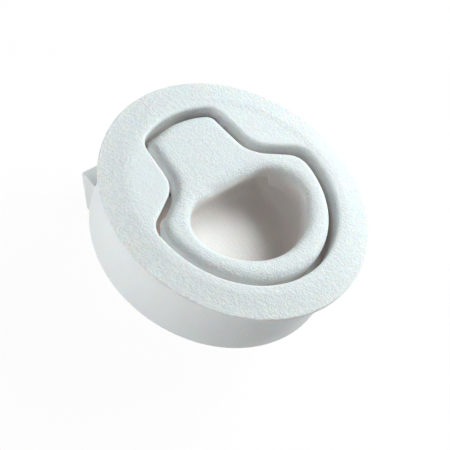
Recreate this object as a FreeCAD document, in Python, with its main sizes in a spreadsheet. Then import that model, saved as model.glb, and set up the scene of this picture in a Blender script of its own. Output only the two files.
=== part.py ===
# Round flush push-to-close latch in moulded plastic.
# The origin is the centre of the flange's underside, where it meets the panel.
# +Z points out of the panel, and the latch bolt and the handle's tang point to -X.
import FreeCAD, Part
import math
import os
import re
import Sketcher
from FreeCAD import Placement, Rotation, Vector

DOC = FreeCAD.newDocument("push_to_close_latch")

# Driving sizes in millimetres and degrees: name, value, meaning.
SIZES = [
    ("flange_radius", 31.75, "outer radius of the flange"),
    ("flange_height", 2.2, "flat top above the panel"),
    ("lip_height", 0.8, "thickness of the flange at its rim"),
    ("lip_round", 0.3, "rounding of the flange's rim"),
    ("flat_round", 3.0, "rounding between the flat top and the bevel"),
    ("body_wall", 1.6, "wall of the round body"),
    ("top_wall", 2.4, "thickness of the flange's middle"),
    ("tub_wall", 1.5, "wall round the recess and the cup"),
    ("tang_half_angle", 28.0, "half the angle that the tang end spans"),
    ("shoulder_angle", 95.6, "direction of the shoulder corner from the lobe's middle"),
    ("rim_round", 0.9, "rounding of the recess's rim"),
    ("handle_gap", 1.5, "gap all round the handle"),
    ("handle_drop", 0.2, "handle's top below the flat top"),
    ("tang_thickness", 4.2, "thickness of the handle's tang"),
    ("ring_depth", 6.8, "depth of the handle's ring"),
    ("seat_gap", 0.3, "handle's ring above the recess's floor"),
    ("cup_depth", 12.0, "cup's floor behind the panel face"),
    ("cup_corner", 3.0, "rounding of the cup's corners"),
    ("cup_floor_round", 2.0, "rounding round the cup's floor"),
    ("rib_thickness", 1.2, "stiffening ribs in the round body"),
    ("rib_depth", 11.0, "stiffening ribs' depth behind the panel face"),
    ("pivot_depth", 1.7, "handle's pivot behind the panel face"),
    ("pin_radius", 1.25, "radius of the pivot pin"),
    ("pin_clearance", 0.05, "radial clearance round the pivot pin"),
    ("pin_chamfer", 0.25, "chamfer on the pivot pin's ends"),
    ("knuckle_radius", 2.6, "radius of the handle's knuckles round the pin"),
    ("arm_length", 12.0, "lever arm from the pivot to its rounded tip"),
    ("arm_tip_radius", 1.8, "radius of the lever arm's tip"),
    ("lift_angle", 40.0, "full lift of the handle"),
    ("drive_gap", 0.4, "lever arm's tip to the bolt's post"),
    ("block_half_length", 3.7, "half length of the blocks that hold the pin"),
    ("screw_boss_radius", 2.5, "radius of the bosses for the case screws"),
    ("screw_radius", 1.0, "thread radius of all the screws"),
    ("screw_clearance", 0.05, "radial clearance round the screws"),
    ("screw_head_radius", 1.9, "radius of the screws' heads"),
    ("screw_head_height", 1.1, "height of the screws' heads"),
    ("screw_length", 9.0, "length of the screws under their heads"),
    ("head_recess", 1.3, "depth of the recess for a screw's head"),
    ("head_clearance", 0.2, "radial clearance round a screw's head"),
    ("back_thickness", 2.4, "thickness of the case's round plate"),
    ("floor_gap", 0.1, "gap between the cup and the case's round plate"),
    ("back_clearance", 0.2, "gap round the case's round plate"),
    ("plate_rim", 0.1, "rim left outside the recesses for the screws' heads"),
    ("bolt_depth", 25.1, "top face of the latch bolt behind the panel face"),
    ("bolt_height", 8.0, "height of the latch bolt"),
    ("bolt_tip_height", 1.2, "upright edge of the latch bolt's tip"),
    ("ramp_length", 5.0, "length of the latch bolt's ramp"),
    ("bolt_clearance", 0.25, "gap round the latch bolt in its guide"),
    ("bolt_round", 0.5, "rounding of the latch bolt's edges"),
    ("post_thickness", 2.2, "thickness of the latch bolt's post"),
    ("post_height", 15.1, "height of the post above the bolt"),
    ("brace_height", 9.0, "height of the brace behind the post"),
    ("brace_length", 6.5, "length of the brace behind the post"),
    ("slot_clearance", 0.8, "gap round the post and the arm in the plate"),
    ("case_wall", 1.8, "wall of the bolt case"),
    ("case_floor", 1.6, "thickness of the bolt case's floor"),
    ("case_round", 1.5, "rounding of the bolt case's upright edges"),
    ("base_round", 0.6, "rounding round the bolt case's floor"),
    ("ear_radius", 2.6, "radius of the bolt case's screw ears and their bosses"),
    ("ear_thickness", 2.4, "thickness of the bolt case's screw ears"),
    ("ear_depth", 6.0, "screw ears' front face behind the round plate"),
    ("rail_width", 2.2, "rails that keep the latch bolt down"),
    ("rail_clearance", 0.15, "gap between the rails and the bolt case"),
    ("clamp_boss_radius", 2.9, "radius of the fixing holes' bosses"),
    ("clamp_boss_height", 4.0, "height of the fixing holes' bosses"),
    ("clamp_hole_radius", 1.25, "radius of the fixing holes"),
    ("clamp_hole_depth", 5.0, "depth of the fixing holes"),
    ("spring_radius", 2.0, "mean radius of the bolt springs"),
    ("spring_wire", 0.35, "wire radius of the bolt springs"),
    ("spring_pitch", 2.3, "pitch of the bolt springs"),
    ("pocket_radius", 2.8, "radius of the bolt's spring pockets"),
    ("pocket_depth", 13.0, "depth of the bolt's spring pockets"),
    ("spigot_radius", 1.3, "radius of the spigots that hold the springs"),
    ("spigot_length", 3.0, "length of the spigots that hold the springs"),
    ("coil_radius", 1.8, "mean radius of the handle springs"),
    ("coil_wire", 0.3, "wire radius of the handle springs"),
    ("coil_pitch", 0.78, "pitch of the handle springs"),
    ("coil_margin", 0.36, "room for the wire at the coils' outer end"),
    ("coil_leg", 6.5, "length of the handle springs' legs"),
    ("leg_lean", 0.7, "how far a spring leg leans towards its hole"),
    ("leg_hole_clearance", 0.15, "radial clearance round a spring leg's end"),
    ("leg_seat_depth", 1.2, "how far a spring leg's end enters its hole"),
    ("cross_reach", 0.95, "half length of the cross in a screw's head"),
    ("cross_half_width", 0.21, "half width of the cross in a screw's head"),
    ("overshoot", 1.0, "how far a cut runs past a face, or a joined form into its neighbour"),
]

# Sizes across the panel for a flange of this radius. They grow and shrink with it.
PLAN_RADIUS = 31.75
PLAN = [
    ("flat_radius", 26.2, "radius of the flange's flat top"),
    ("body_radius", 29.0, "radius of the round body behind the flange"),
    ("recess_radius", 23.8, "radius of the recess round its lobe and its tang end"),
    ("neck_distance", 8.5, "neck corner from the axis, towards the tang"),
    ("neck_half_width", 12.6, "half width of the recess at its neck corner"),
    ("corner_round", 4.2, "rounding of the recess at the tang end"),
    ("neck_round", 6.3, "rounding of the recess at the neck"),
    ("shoulder_round", 4.4, "rounding of the recess at the shoulder"),
    ("ring_start", 1.5, "where the tang thickens into the ring, from the axis"),
    ("hole_radius", 16.8, "radius of the finger hole's round side"),
    ("hole_side", 2.4, "finger hole's tang side from the axis, at its corners"),
    ("hole_bow", 120.0, "radius of the finger hole's bowed tang side"),
    ("hole_corner", 8.0, "rounding of the finger hole's corners"),
    ("handle_round", 2.4, "rounding of the handle's outer top edge"),
    ("hole_round", 1.6, "rounding of the finger hole's top edge"),
    ("cup_half_width", 17.8, "half width of the cup behind the finger hole"),
    ("cup_side", 5.5, "cup's tang side from the axis"),
    ("pivot_distance", 19.5, "handle's pivot from the axis"),
    ("pin_half_length", 14.4, "half the pivot pin's length"),
    ("arm_half_width", 3.2, "half width of the handle's lever arm"),
    ("lug_inner", 6.6, "inner side of the handle's outer knuckles"),
    ("lug_outer", 8.2, "outer side of the handle's outer knuckles"),
    ("chamber_half_width", 9.8, "half width of the opening under the tang"),
    ("block_half_width", 15.2, "outer side of the blocks that hold the pin"),
    ("bolt_half_width", 9.5, "half width of the latch bolt"),
    ("bolt_reach", 33.0, "tip of the latch bolt from the axis"),
    ("bolt_back", 3.0, "rear face of the latch bolt from the axis"),
    ("post_half_width", 4.6, "half width of the latch bolt's post"),
    ("case_reach", 24.5, "front of the bolt case from the axis"),
    ("case_rear", 7.0, "rear of the bolt case from the axis"),
    ("case_screw_front", 12.0, "front screws of the bolt case from the axis"),
    ("case_screw_rear", 4.0, "rear screws of the bolt case from the axis"),
    ("clamp_spacing", 41.0, "distance between the two fixing holes"),
    ("spring_side", 5.4, "bolt springs from the middle plane"),
    ("coil_start", 3.85, "inner end of the handle springs' coils"),
]

# Sizes that follow from the driving ones: name, formula, meaning.
DERIVED = [
    ("handle_top", "flange_height - handle_drop", "handle's top face"),
    ("tang_bottom", "handle_top - tang_thickness", "underside of the tang"),
    ("ring_bottom", "handle_top - ring_depth", "underside of the ring"),
    ("pocket_floor", "ring_bottom - seat_gap", "floor of the recess"),
    ("shell_top", "flange_height - top_wall", "inside of the flange's middle"),
    ("body_inner", "body_radius - body_wall", "inner radius of the round body"),
    ("plate_radius", "body_inner - back_clearance", "radius of the round plate"),
    ("body_height", "cup_depth + tub_wall + floor_gap + back_thickness", "depth of the body"),
    ("pivot_x", "-pivot_distance", "pivot's place"),
    ("pivot_z", "-pivot_depth", "pivot's height"),
    ("tip_z", "pivot_z - arm_length", "lever arm's tip"),
    ("bolt_travel", "arm_length * sin(lift_angle)", "latch bolt's travel"),
    ("plate_top", "back_thickness - body_height", "front face of the case's plate"),
    ("plate_bottom", "-body_height", "rear face of the case's plate"),
    ("bolt_top", "-bolt_depth", "top face of the latch bolt"),
    ("bolt_bottom", "bolt_top - bolt_height", "underside of the latch bolt"),
    ("post_x", "pivot_x + arm_tip_radius + drive_gap", "driven face of the post"),
    ("post_top", "bolt_top + post_height", "top of the post"),
    ("guide_half", "bolt_half_width + bolt_clearance", "half width inside the bolt case"),
    ("case_half", "guide_half + case_wall", "half width of the bolt case"),
    ("case_bottom", "bolt_bottom - bolt_clearance", "floor inside the bolt case"),
    ("case_base", "case_bottom - case_floor", "rear face of the bolt case"),
    ("ear_top", "plate_bottom - ear_depth", "front face of the screw ears"),
    ("ear_bottom", "ear_top - ear_thickness", "rear face of the screw ears"),
    ("ear_side", "case_half + ear_radius", "screw ears from the middle plane"),
    ("rail_bottom", "bolt_top + bolt_clearance", "underside of the rails"),
    ("rail_outer", "guide_half - rail_clearance", "outer side of the rails"),
    ("rear_inner", "case_rear - case_wall", "inner face of the case's rear wall"),
    ("spring_z", "bolt_top - bolt_height / 2", "height of the bolt springs"),
    ("pocket_end", "pocket_depth + bolt_back", "depth of the pockets from the axis"),
    ("screw_hole", "screw_radius + screw_clearance", "radius of the screw holes"),
    ("head_hole", "screw_head_radius + head_clearance", "radius of the head recesses"),
    ("screw_circle", "plate_radius - head_hole - plate_rim", "radius of the plate screws' circle"),
    ("pin_hole", "pin_radius + pin_clearance", "radius of the pin's holes"),
    ("leg_z", "pivot_z - coil_leg", "height of the spring legs' ends"),
    ("coil_turns", "trunc((lug_inner - coil_start - coil_margin) / coil_pitch)",
     "whole turns of the handle springs"),
    ("coil_end", "coil_start + coil_pitch * coil_turns", "outer end of the coils"),
    ("leg_hole", "coil_wire + leg_hole_clearance", "radius of the leg holes"),
]

RIB_ANGLES = (0, 22, -22, 68, -68, 112, -112)
TOUCH = 1e-4
NEAR = 0.01
SIDES = (("left", -1), ("right", 1))
TURNS = {
    "x": Rotation(Vector(0, 1, 0), 90),
    "y": Rotation(Vector(1, 0, 0), -90),
    "z": Rotation(),
}


# The spreadsheet and the helpers that read it

def make_sheet():
    """Write every size to the spreadsheet under its own alias."""
    sheet = DOC.addObject("Spreadsheet::Sheet", "sizes")
    rows = [(name, str(number), note) for name, number, note in SIZES]
    rows += [(name, f"=flange_radius * {number} / {PLAN_RADIUS}", note)
             for name, number, note in PLAN]
    rows += [(name, "=" + formula, note) for name, formula, note in DERIVED]
    for row, (name, content, note) in enumerate(rows, start=1):
        sheet.set(f"A{row}", name)
        sheet.set(f"B{row}", content)
        sheet.setAlias(f"B{row}", name)
        sheet.set(f"C{row}", note)
    DOC.recompute()
    return sheet


SHEET = make_sheet()
NAMES = {row[0] for row in SIZES + PLAN + DERIVED}


def linked(formula):
    """The formula with each size's name pointing at the spreadsheet."""
    return re.sub(r"[a-z_]+", lambda word: "sizes." * (word[0] in NAMES) + word[0], str(formula))


def value(formula):
    """The formula's number now."""
    return float(SHEET.evalExpression(str(formula)))


def bind(feature, links):
    """Tie properties of a feature to formulas of the sizes."""
    for name, formula in links.items():
        feature.setExpression(name, linked(formula))
    return feature


# Primitives and booleans

def box(name, low, high):
    """Block between two corners, each given as three formulas."""
    block = DOC.addObject("Part::Box", name)
    for side, axis, start, end in zip(("Length", "Width", "Height"), "xyz", low, high):
        bind(block, {side: f"({end}) - ({start})", "Placement.Base." + axis: start})
    return block


def cylinder(name, axis, radius, base, length):
    """Cylinder that starts at base and runs along one axis."""
    rod = DOC.addObject("Part::Cylinder", name)
    rod.Placement = Placement(Vector(), TURNS[axis])
    bind(rod, {"Radius": radius, "Height": length})
    return bind(rod, {"Placement.Base." + way: place for way, place in zip("xyz", base)})


def fuse(name, pieces):
    joined = DOC.addObject("Part::MultiFuse", name)
    joined.Shapes = pieces
    joined.Refine = True
    return joined


def cut(name, base, tools):
    """The base with one or more tools taken away."""
    result = DOC.addObject("Part::Cut", name)
    result.Base = base
    result.Tool = tools[0] if len(tools) == 1 else fuse(name + "_tools", tools)
    result.Refine = True
    return result


def rounded(name, base, radius, chosen):
    """The base with the edges that pass the test rounded."""
    DOC.recompute()
    result = DOC.addObject("Part::Fillet", name)
    result.Base = base
    size = value(radius)
    edges = [n for n, edge in enumerate(base.Shape.Edges, start=1) if chosen(edge)]
    result.Edges = [(n, size, size) for n in edges]
    return result


def prism(name, outline, low, high):
    """Outline in the XY plane carried from one height to another."""
    solid = DOC.addObject("Part::Extrusion", name)
    solid.Base = outline
    solid.DirMode = "Custom"
    solid.Dir = Vector(0, 0, 1)
    solid.Solid = True
    return bind(solid, {"LengthFwd": high, "LengthRev": f"-({low})"})


def labelled(label, feature):
    """Give a finished piece the name of its file."""
    feature.Label = label
    return feature


# Sketches and bodies

def plane(body, role):
    return next(p for p in body.Origin.OriginFeatures if p.Role == role)


def sketch_in(body, name, role, offset=None):
    """Sketch on one of the body's origin planes, moved along its normal."""
    sketch = body.newObject("Sketcher::SketchObject", name)
    sketch.AttachmentSupport = [(plane(body, role), "")]
    sketch.MapMode = "FlatFace"
    if offset:
        bind(sketch, {"AttachmentOffset.Base.z": offset})
    return sketch


def hold(sketch, geometry, point, place):
    """Fix a sketch point at a place given as two formulas."""
    for kind, formula in zip(("DistanceX", "DistanceY"), place):
        constraint = Sketcher.Constraint(kind, -1, 1, geometry, point, value(formula))
        index = sketch.addConstraint(constraint)
        bind(sketch, {f"Constraints[{index}]": formula})


def polygon(sketch, corners):
    """Closed outline through corners given as pairs of formulas."""
    first = sketch.GeometryCount
    spots = [Vector(value(x), value(y), 0) for x, y in corners]
    count = len(spots)
    for k in range(count):
        sketch.addGeometry(Part.LineSegment(spots[k], spots[(k + 1) % count]), False)
    for k in range(count):
        after = first + (k + 1) % count
        sketch.addConstraint(Sketcher.Constraint("Coincident", first + k, 2, after, 1))
        hold(sketch, first + k, 1, corners[k])


def circle(sketch, centre, radius):
    """Circle with its centre and radius given as formulas."""
    spot = Vector(value(centre[0]), value(centre[1]), 0)
    index = sketch.addGeometry(Part.Circle(spot, Vector(0, 0, 1), value(radius)), False)
    hold(sketch, index, 3, centre)
    size = sketch.addConstraint(Sketcher.Constraint("Radius", index, value(radius)))
    bind(sketch, {f"Constraints[{size}]": radius})


def pad(body, sketch, name, length, symmetric=False):
    feature = body.newObject("PartDesign::Pad", name)
    feature.Profile = sketch
    bind(feature, {"Length": length})
    if symmetric:
        feature.SideType = "Symmetric"
    return feature


def pocket(body, sketch, name, depth, reverse=False):
    feature = body.newObject("PartDesign::Pocket", name)
    feature.Profile = sketch
    feature.Reversed = reverse
    bind(feature, {"Length": depth})
    return feature


# Outlines of the recess, the handle and the finger hole

def arc(start, middle, end):
    return Part.Arc(start, middle, end).toShape()


def keyhole(name, inset):
    """Keyhole outline of the recess, moved inward by inset.

    The lobe and the tang end are arcs round the latch's axis. Two straight
    flanks run from the tang end to the neck and two shoulders from the neck
    to the lobe, and every corner is a tangent arc. Moving the outline inward
    keeps each arc's centre and changes its radius."""
    big = value("recess_radius")
    move = value(inset)
    half = math.radians(value("tang_half_angle"))
    turn = math.radians(value("shoulder_angle"))
    corner = Vector(-big * math.cos(half), big * math.sin(half), 0)
    neck = Vector(-value("neck_distance"), value("neck_half_width"), 0)
    shoulder = Vector(big * math.cos(turn), big * math.sin(turn), 0)
    flank = (neck - corner).normalize()
    rise = (shoulder - neck).normalize()
    flank_in = Vector(flank.y, -flank.x, 0)
    rise_in = Vector(rise.y, -rise.x, 0)

    def touching(start, along, inward, rounding, way):
        """Centre of the arc between a line and the big circle."""
        foot = start + inward * rounding
        middle = along * (-foot.dot(along))
        reach = math.sqrt((big - rounding) ** 2 - (foot + middle).Length ** 2)
        return foot + middle + along * (way * reach)

    end_round = value("corner_round")
    neck_round = value("neck_round")
    side_round = value("shoulder_round")
    end_centre = touching(corner, flank, flank_in, end_round, -1)
    side_centre = touching(neck, rise, rise_in, side_round, 1)
    spread = flank_in.dot(rise_in)
    neck_centre = neck - (flank_in + rise_in) * (neck_round / (1 + spread))

    def on_circle(centre):
        return centre * ((big - move) / centre.Length)

    def outward(centre, inward, rounding):
        ray = (Vector(centre).normalize() - inward).normalize()
        return centre + ray * (rounding - move)

    end_out = on_circle(end_centre)
    end_in = end_centre - flank_in * (end_round - move)
    neck_first = neck_centre + flank_in * (neck_round + move)
    neck_middle = neck_centre + (flank_in + rise_in).normalize() * (neck_round + move)
    neck_last = neck_centre + rise_in * (neck_round + move)
    side_in = side_centre - rise_in * (side_round - move)
    side_out = on_circle(side_centre)
    half_outline = [
        arc(end_out, outward(end_centre, flank_in, end_round), end_in),
        Part.LineSegment(end_in, neck_first).toShape(),
        arc(neck_first, neck_middle, neck_last),
        Part.LineSegment(neck_last, side_in).toShape(),
        arc(side_in, outward(side_centre, rise_in, side_round), side_out),
    ]
    mirrored = [edge.mirror(Vector(), Vector(0, 1, 0)) for edge in half_outline]
    tang_end = arc(end_out, Vector(move - big, 0, 0), Vector(end_out.x, -end_out.y, 0))
    lobe = arc(side_out, Vector(big - move, 0, 0), Vector(side_out.x, -side_out.y, 0))
    edges = Part.sortEdges([tang_end] + half_outline + [lobe] + mirrored)[0]
    outline = DOC.addObject("Part::Feature", name)
    outline.Shape = Part.Face(Part.Wire(edges))
    return outline


def finger_hole_outline():
    """D-shaped outline: a round side about the axis and a bowed tang side."""
    sketch = DOC.addObject("Sketcher::SketchObject", "finger_hole_outline")
    radius = value("hole_radius")
    bow = value("hole_bow")
    start = math.acos(-value("hole_side") / radius)
    high = radius * math.sin(start)
    tilt = math.asin(high / bow)
    bow_x = -value("hole_side") + bow * math.cos(tilt)
    up = Vector(0, 0, 1)
    round_side = Part.ArcOfCircle(Part.Circle(Vector(), up, radius), -start, start)
    bowed = Part.Circle(Vector(bow_x, 0, 0), up, bow)
    tang_side = Part.ArcOfCircle(bowed, math.pi - tilt, math.pi + tilt)
    sketch.addGeometry([round_side, tang_side], False)
    sketch.addConstraint(Sketcher.Constraint("Coincident", 0, 3, -1, 1))
    sketch.addConstraint(Sketcher.Constraint("Coincident", 0, 2, 1, 1))
    sketch.addConstraint(Sketcher.Constraint("Coincident", 1, 2, 0, 1))
    sketch.addConstraint(Sketcher.Constraint("PointOnObject", 1, 3, -1))
    sizes = (("Radius", (0,), "hole_radius"), ("Radius", (1,), "hole_bow"),
             ("DistanceX", (-1, 1, 0, 2), "-hole_side"))
    for kind, places, formula in sizes:
        index = sketch.addConstraint(Sketcher.Constraint(kind, *places, value(formula)))
        bind(sketch, {f"Constraints[{index}]": formula})
    return sketch


def is_upright(edge):
    """True for a straight edge along Z."""
    if not isinstance(edge.Curve, (Part.Line, Part.LineSegment)):
        return False
    ends = edge.Vertexes
    return len(ends) == 2 and (ends[0].Point - ends[1].Point).Length > abs(
        ends[0].Point.x - ends[1].Point.x) + abs(ends[0].Point.y - ends[1].Point.y) + TOUCH


def at_height(edge, height):
    """True for an edge that lies flat at one height."""
    box = edge.BoundBox
    return abs(box.ZMin - height) < TOUCH and abs(box.ZMax - height) < TOUCH


def is_inside(edge, radius):
    """True for an edge of the finger hole: within a radius and not at the tang."""
    box = edge.BoundBox
    reach = max(math.hypot(v.X, v.Y) for v in edge.Vertexes)
    return reach < radius and box.XMin > -value("cup_side")


# Housing: flange, round body, recess, cup, bosses and ribs in one moulding

def flange_shell():
    """Flange and round body, turned about the axis."""
    body = DOC.addObject("PartDesign::Body", "flange_shell")
    sketch = sketch_in(body, "flange_profile", "XZ_Plane")
    polygon(sketch, [
        ("0", "shell_top"), ("body_inner", "shell_top"), ("body_inner", "-body_height"),
        ("body_radius", "-body_height"), ("body_radius", "0"), ("flange_radius", "0"),
        ("flange_radius", "lip_height"), ("flat_radius", "flange_height"),
        ("0", "flange_height"),
    ])
    turn = body.newObject("PartDesign::Revolution", "flange_turn")
    turn.Profile = sketch
    turn.ReferenceAxis = (sketch, ["V_Axis"])
    turn.Angle = 360
    DOC.recompute()
    for name, radius, height in (("flat_edge", "flat_radius", "flange_height"),
                                 ("lip_edge", "flange_radius", "lip_height")):
        base = body.Tip
        size = value(radius)
        ring = [f"Edge{n}" for n, edge in enumerate(base.Shape.Edges, start=1)
                if at_height(edge, value(height)) and abs(edge.BoundBox.XMax - size) < TOUCH]
        soft = body.newObject("PartDesign::Fillet", name)
        soft.Base = (base, ring)
        bind(soft, {"Radius": "flat_round" if name == "flat_edge" else "lip_round"})
        DOC.recompute()
    return body


def cup_solid(name, grow, low, high):
    """The cup's form: a half round lobe with straight sides to the tang."""
    width = f"cup_half_width + {grow}"
    lobe = cylinder(name + "_lobe", "z", width, ("0", "0", low), f"({high}) - ({low})")
    lobe.Placement.Rotation = Rotation(Vector(0, 0, 1), -90)
    lobe.Angle = 180
    sides = box(name + "_sides", (f"-cup_side - {grow}", f"-({width})", low),
                ("0", width, high))
    return fuse(name, [lobe, sides])


def cup_cavity():
    """The cup's hollow, with rounded corners and a rounded floor."""
    sharp = cup_solid("cup_hollow", "0", "-cup_depth", "pocket_floor + overshoot")
    far = value("cup_side")
    upright = rounded("cup_corners", sharp, "cup_corner",
                      lambda e: is_upright(e) and abs(e.BoundBox.XMax + far) < TOUCH)
    floor = -value("cup_depth")
    return rounded("cup_cavity", upright, "cup_floor_round", lambda e: at_height(e, floor))


def radial_rib(name, angle):
    """Thin rib from the cup's wall to the round body's wall."""
    rib = DOC.addObject("Part::Box", name)
    bind(rib, {"Length": "body_inner - cup_half_width + tub_wall / 2",
               "Width": "rib_thickness", "Height": "rib_depth + shell_top"})
    swing = Rotation(Vector(0, 0, 1), angle)
    rib.Placement = Placement(Vector(), swing)
    across = "rib_thickness / 2"
    bind(rib, {
        "Placement.Base.x": f"cup_half_width * cos({angle}) + {across} * sin({angle})",
        "Placement.Base.y": f"cup_half_width * sin({angle}) - {across} * cos({angle})",
        "Placement.Base.z": "-rib_depth",
    })
    return rib


def plate_screw_places():
    """The four plate screws, on a circle midway between the axes."""
    step = "screw_circle * sin(45)"
    return [(f"{a} * {step}", f"{b} * {step}") for a in (-1, 1) for b in (-1, 1)]


def make_housing(recess):
    solids = [
        flange_shell(),
        prism("recess_tub", keyhole("tub_outline", "-tub_wall"),
              "pocket_floor - tub_wall", "flange_height / 2"),
        cup_solid("cup_tub", "tub_wall", "-cup_depth - tub_wall", "pocket_floor"),
    ]
    solids += [radial_rib(f"rib_{n}", angle) for n, angle in enumerate(RIB_ANGLES, start=1)]
    holes = [
        prism("recess_cavity", recess, "pocket_floor", "flange_height + overshoot"),
        cup_cavity(),
        box("tang_chamber",
            ("-recess_radius + handle_gap / 2", "-chamber_half_width", "plate_top"),
            ("-cup_side - tub_wall", "chamber_half_width", "ring_bottom")),
    ]
    for n, (x, y) in enumerate(plate_screw_places(), start=1):
        solids.append(cylinder(f"screw_boss_{n}", "z", "screw_boss_radius",
                               (x, y, "plate_top"), "shell_top - plate_top + overshoot"))
        holes.append(cylinder(f"screw_bore_{n}", "z", "screw_hole",
                              (x, y, "plate_top"), "screw_length - back_thickness + head_recess"))
    for side, way in SIDES:
        near = f"{way} * chamber_half_width"
        far = f"{way} * block_half_width"
        low, high = (near, far) if way > 0 else (far, near)
        solids.append(box(f"pin_block_{side}", ("pivot_x - block_half_length", low, "plate_top"),
                          ("pivot_x + block_half_length", high, "flange_height / 2")))
        end = f"{way} * (pin_half_length + pin_clearance)"
        low, high = (near, end) if way > 0 else (end, near)
        holes.append(box(f"pin_slot_{side}", ("pivot_x - pin_hole", low, "plate_top - overshoot"),
                         ("pivot_x + pin_hole", high, "pivot_z")))
        seat = cylinder(f"pin_seat_{side}", "y", "pin_hole", ("pivot_x", low, "pivot_z"),
                        f"({high}) - ({low})")
        holes.append(seat)
        depth = "leg_seat_depth + leg_hole"
        start = "chamber_half_width" if way > 0 else f"-chamber_half_width - ({depth})"
        holes.append(cylinder(f"leg_bore_{side}", "y", "leg_hole",
                              ("pivot_x - coil_radius - leg_lean", start, "leg_z"), depth))
    rough = cut("housing_rough", fuse("housing_solids", solids), holes)
    DOC.recompute()
    rim = value("flange_height")
    limit = value("recess_radius") + NEAR
    return rounded("housing", rough, "rim_round",
                   lambda e: at_height(e, rim) and e.BoundBox.XMax < limit
                   and e.BoundBox.XMin > -limit and e.BoundBox.YMax < limit)


# Handle: ring, tang, knuckles and lever arm in one moulding

def lever_arm():
    """Barrel round the pin, tapering down to a rounded tip."""
    body = DOC.addObject("PartDesign::Body", "lever_arm")
    parts = []
    for name, radius, height in (("arm_barrel", "knuckle_radius", "pivot_z"),
                                 ("arm_tip", "arm_tip_radius", "tip_z")):
        parts.append(cylinder(name, "y", radius, ("pivot_x", "-arm_half_width", height),
                              "2 * arm_half_width"))
    sketch = sketch_in(body, "arm_profile", "XZ_Plane")
    taper = "(knuckle_radius - arm_tip_radius) / arm_length"
    polygon(sketch, [
        (f"pivot_x - knuckle_radius * cos(asin({taper}))", f"pivot_z - knuckle_radius * {taper}"),
        (f"pivot_x - arm_tip_radius * cos(asin({taper}))", f"tip_z - arm_tip_radius * {taper}"),
        (f"pivot_x + arm_tip_radius * cos(asin({taper}))", f"tip_z - arm_tip_radius * {taper}"),
        (f"pivot_x + knuckle_radius * cos(asin({taper}))", f"pivot_z - knuckle_radius * {taper}"),
    ])
    pad(body, sketch, "arm_web", "2 * arm_half_width", symmetric=True)
    return parts + [body]


def make_handle():
    outline = keyhole("handle_outline", "handle_gap")
    blank = prism("handle_blank", outline, "ring_bottom", "handle_top")
    sharp_hole = prism("hole_sharp", finger_hole_outline(),
                       "ring_bottom - overshoot", "handle_top + overshoot")
    hole = rounded("finger_hole", sharp_hole, "hole_corner", is_upright)
    relief = box("tang_relief", ("-flange_radius", "-flange_radius", "ring_bottom - overshoot"),
                 ("-ring_start", "flange_radius", "tang_bottom"))
    pierced = cut("handle_ring", blank, [hole, relief])
    top = value("handle_top")
    inner = value("hole_radius") + NEAR
    outer = rounded("handle_soft", pierced, "handle_round",
                    lambda e: at_height(e, top) and not is_inside(e, inner))
    soft = rounded("hole_soft", outer, "hole_round",
                   lambda e: at_height(e, top) and is_inside(e, inner))
    lugs = [
        cylinder(f"lug_{side}", "y", "knuckle_radius",
                 ("pivot_x", "lug_inner" if way > 0 else "-lug_outer", "pivot_z"),
                 "lug_outer - lug_inner")
        for side, way in SIDES
    ]
    pockets = [
        cylinder(f"coil_pocket_{side}", "y", "coil_radius + 2 * coil_wire",
                 ("pivot_x", "arm_half_width" if way > 0 else "-lug_inner", "pivot_z"),
                 "lug_inner - arm_half_width")
        for side, way in SIDES
    ]
    hollow = cut("handle_hollow", soft, pockets)
    solid = fuse("handle_solid", [hollow] + lugs + lever_arm())
    bore = cylinder("pin_bore", "y", "pin_hole", ("pivot_x", "-pin_half_length", "pivot_z"),
                    "2 * pin_half_length")
    leg_bore = cylinder("arm_leg_bore", "y", "leg_hole",
                        ("pivot_x + coil_radius - leg_lean", "-arm_half_width - overshoot",
                         "leg_z"),
                        "2 * (arm_half_width + overshoot)")
    return cut("pull_handle", solid, [bore, leg_bore])


def make_pin():
    """Pivot pin, turned with chamfered ends."""
    body = DOC.addObject("PartDesign::Body", "handle_pin")
    sketch = sketch_in(body, "pin_profile", "XY_Plane", "pivot_z")
    end = "pin_half_length"
    inner = "pin_radius - pin_chamfer"
    polygon(sketch, [
        ("pivot_x", f"-{end}"), (f"pivot_x + {inner}", f"-{end}"),
        ("pivot_x + pin_radius", f"pin_chamfer - {end}"),
        ("pivot_x + pin_radius", f"{end} - pin_chamfer"),
        (f"pivot_x + {inner}", end), ("pivot_x", end),
    ])
    turn = body.newObject("PartDesign::Revolution", "pin_turn")
    turn.Profile = sketch
    turn.ReferenceAxis = (sketch, ["Edge6"])
    turn.Angle = 360
    return body


# Springs

def wire_run(points, radius):
    """Round wire through points, with a ball at each bend."""
    solids = []
    for start, end in zip(points, points[1:]):
        way = end - start
        solids.append(Part.makeCylinder(radius, way.Length, start, way))
    solids += [Part.makeSphere(radius, spot) for spot in points[1:-1]]
    return solids


def coil(radius, wire, pitch, turns):
    """Helical wire about +Z that starts on the XY plane at +X."""
    path = Part.makeHelix(pitch, pitch * turns, radius)
    section = Part.Wire(Part.makeCircle(wire, Vector(radius, 0, 0), Vector(0, 1, 0)))
    return Part.Wire(path).makePipeShell([section], True, True)


def make_bolt_spring(side, way):
    """Compression spring between the bolt's pocket and the case's rear wall."""
    wire = value("spring_wire")
    start = -value("pocket_end") + wire
    length = value("rear_inner") - wire - start
    turns = round(length / value("spring_pitch"))
    spring = DOC.addObject("Part::Feature", f"bolt_spring_{side}")
    spring.Shape = coil(value("spring_radius"), wire, length / turns, turns)
    centre = Vector(start, way * value("spring_side"), value("spring_z"))
    spring.Placement = Placement(centre, TURNS["x"])
    return spring


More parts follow.
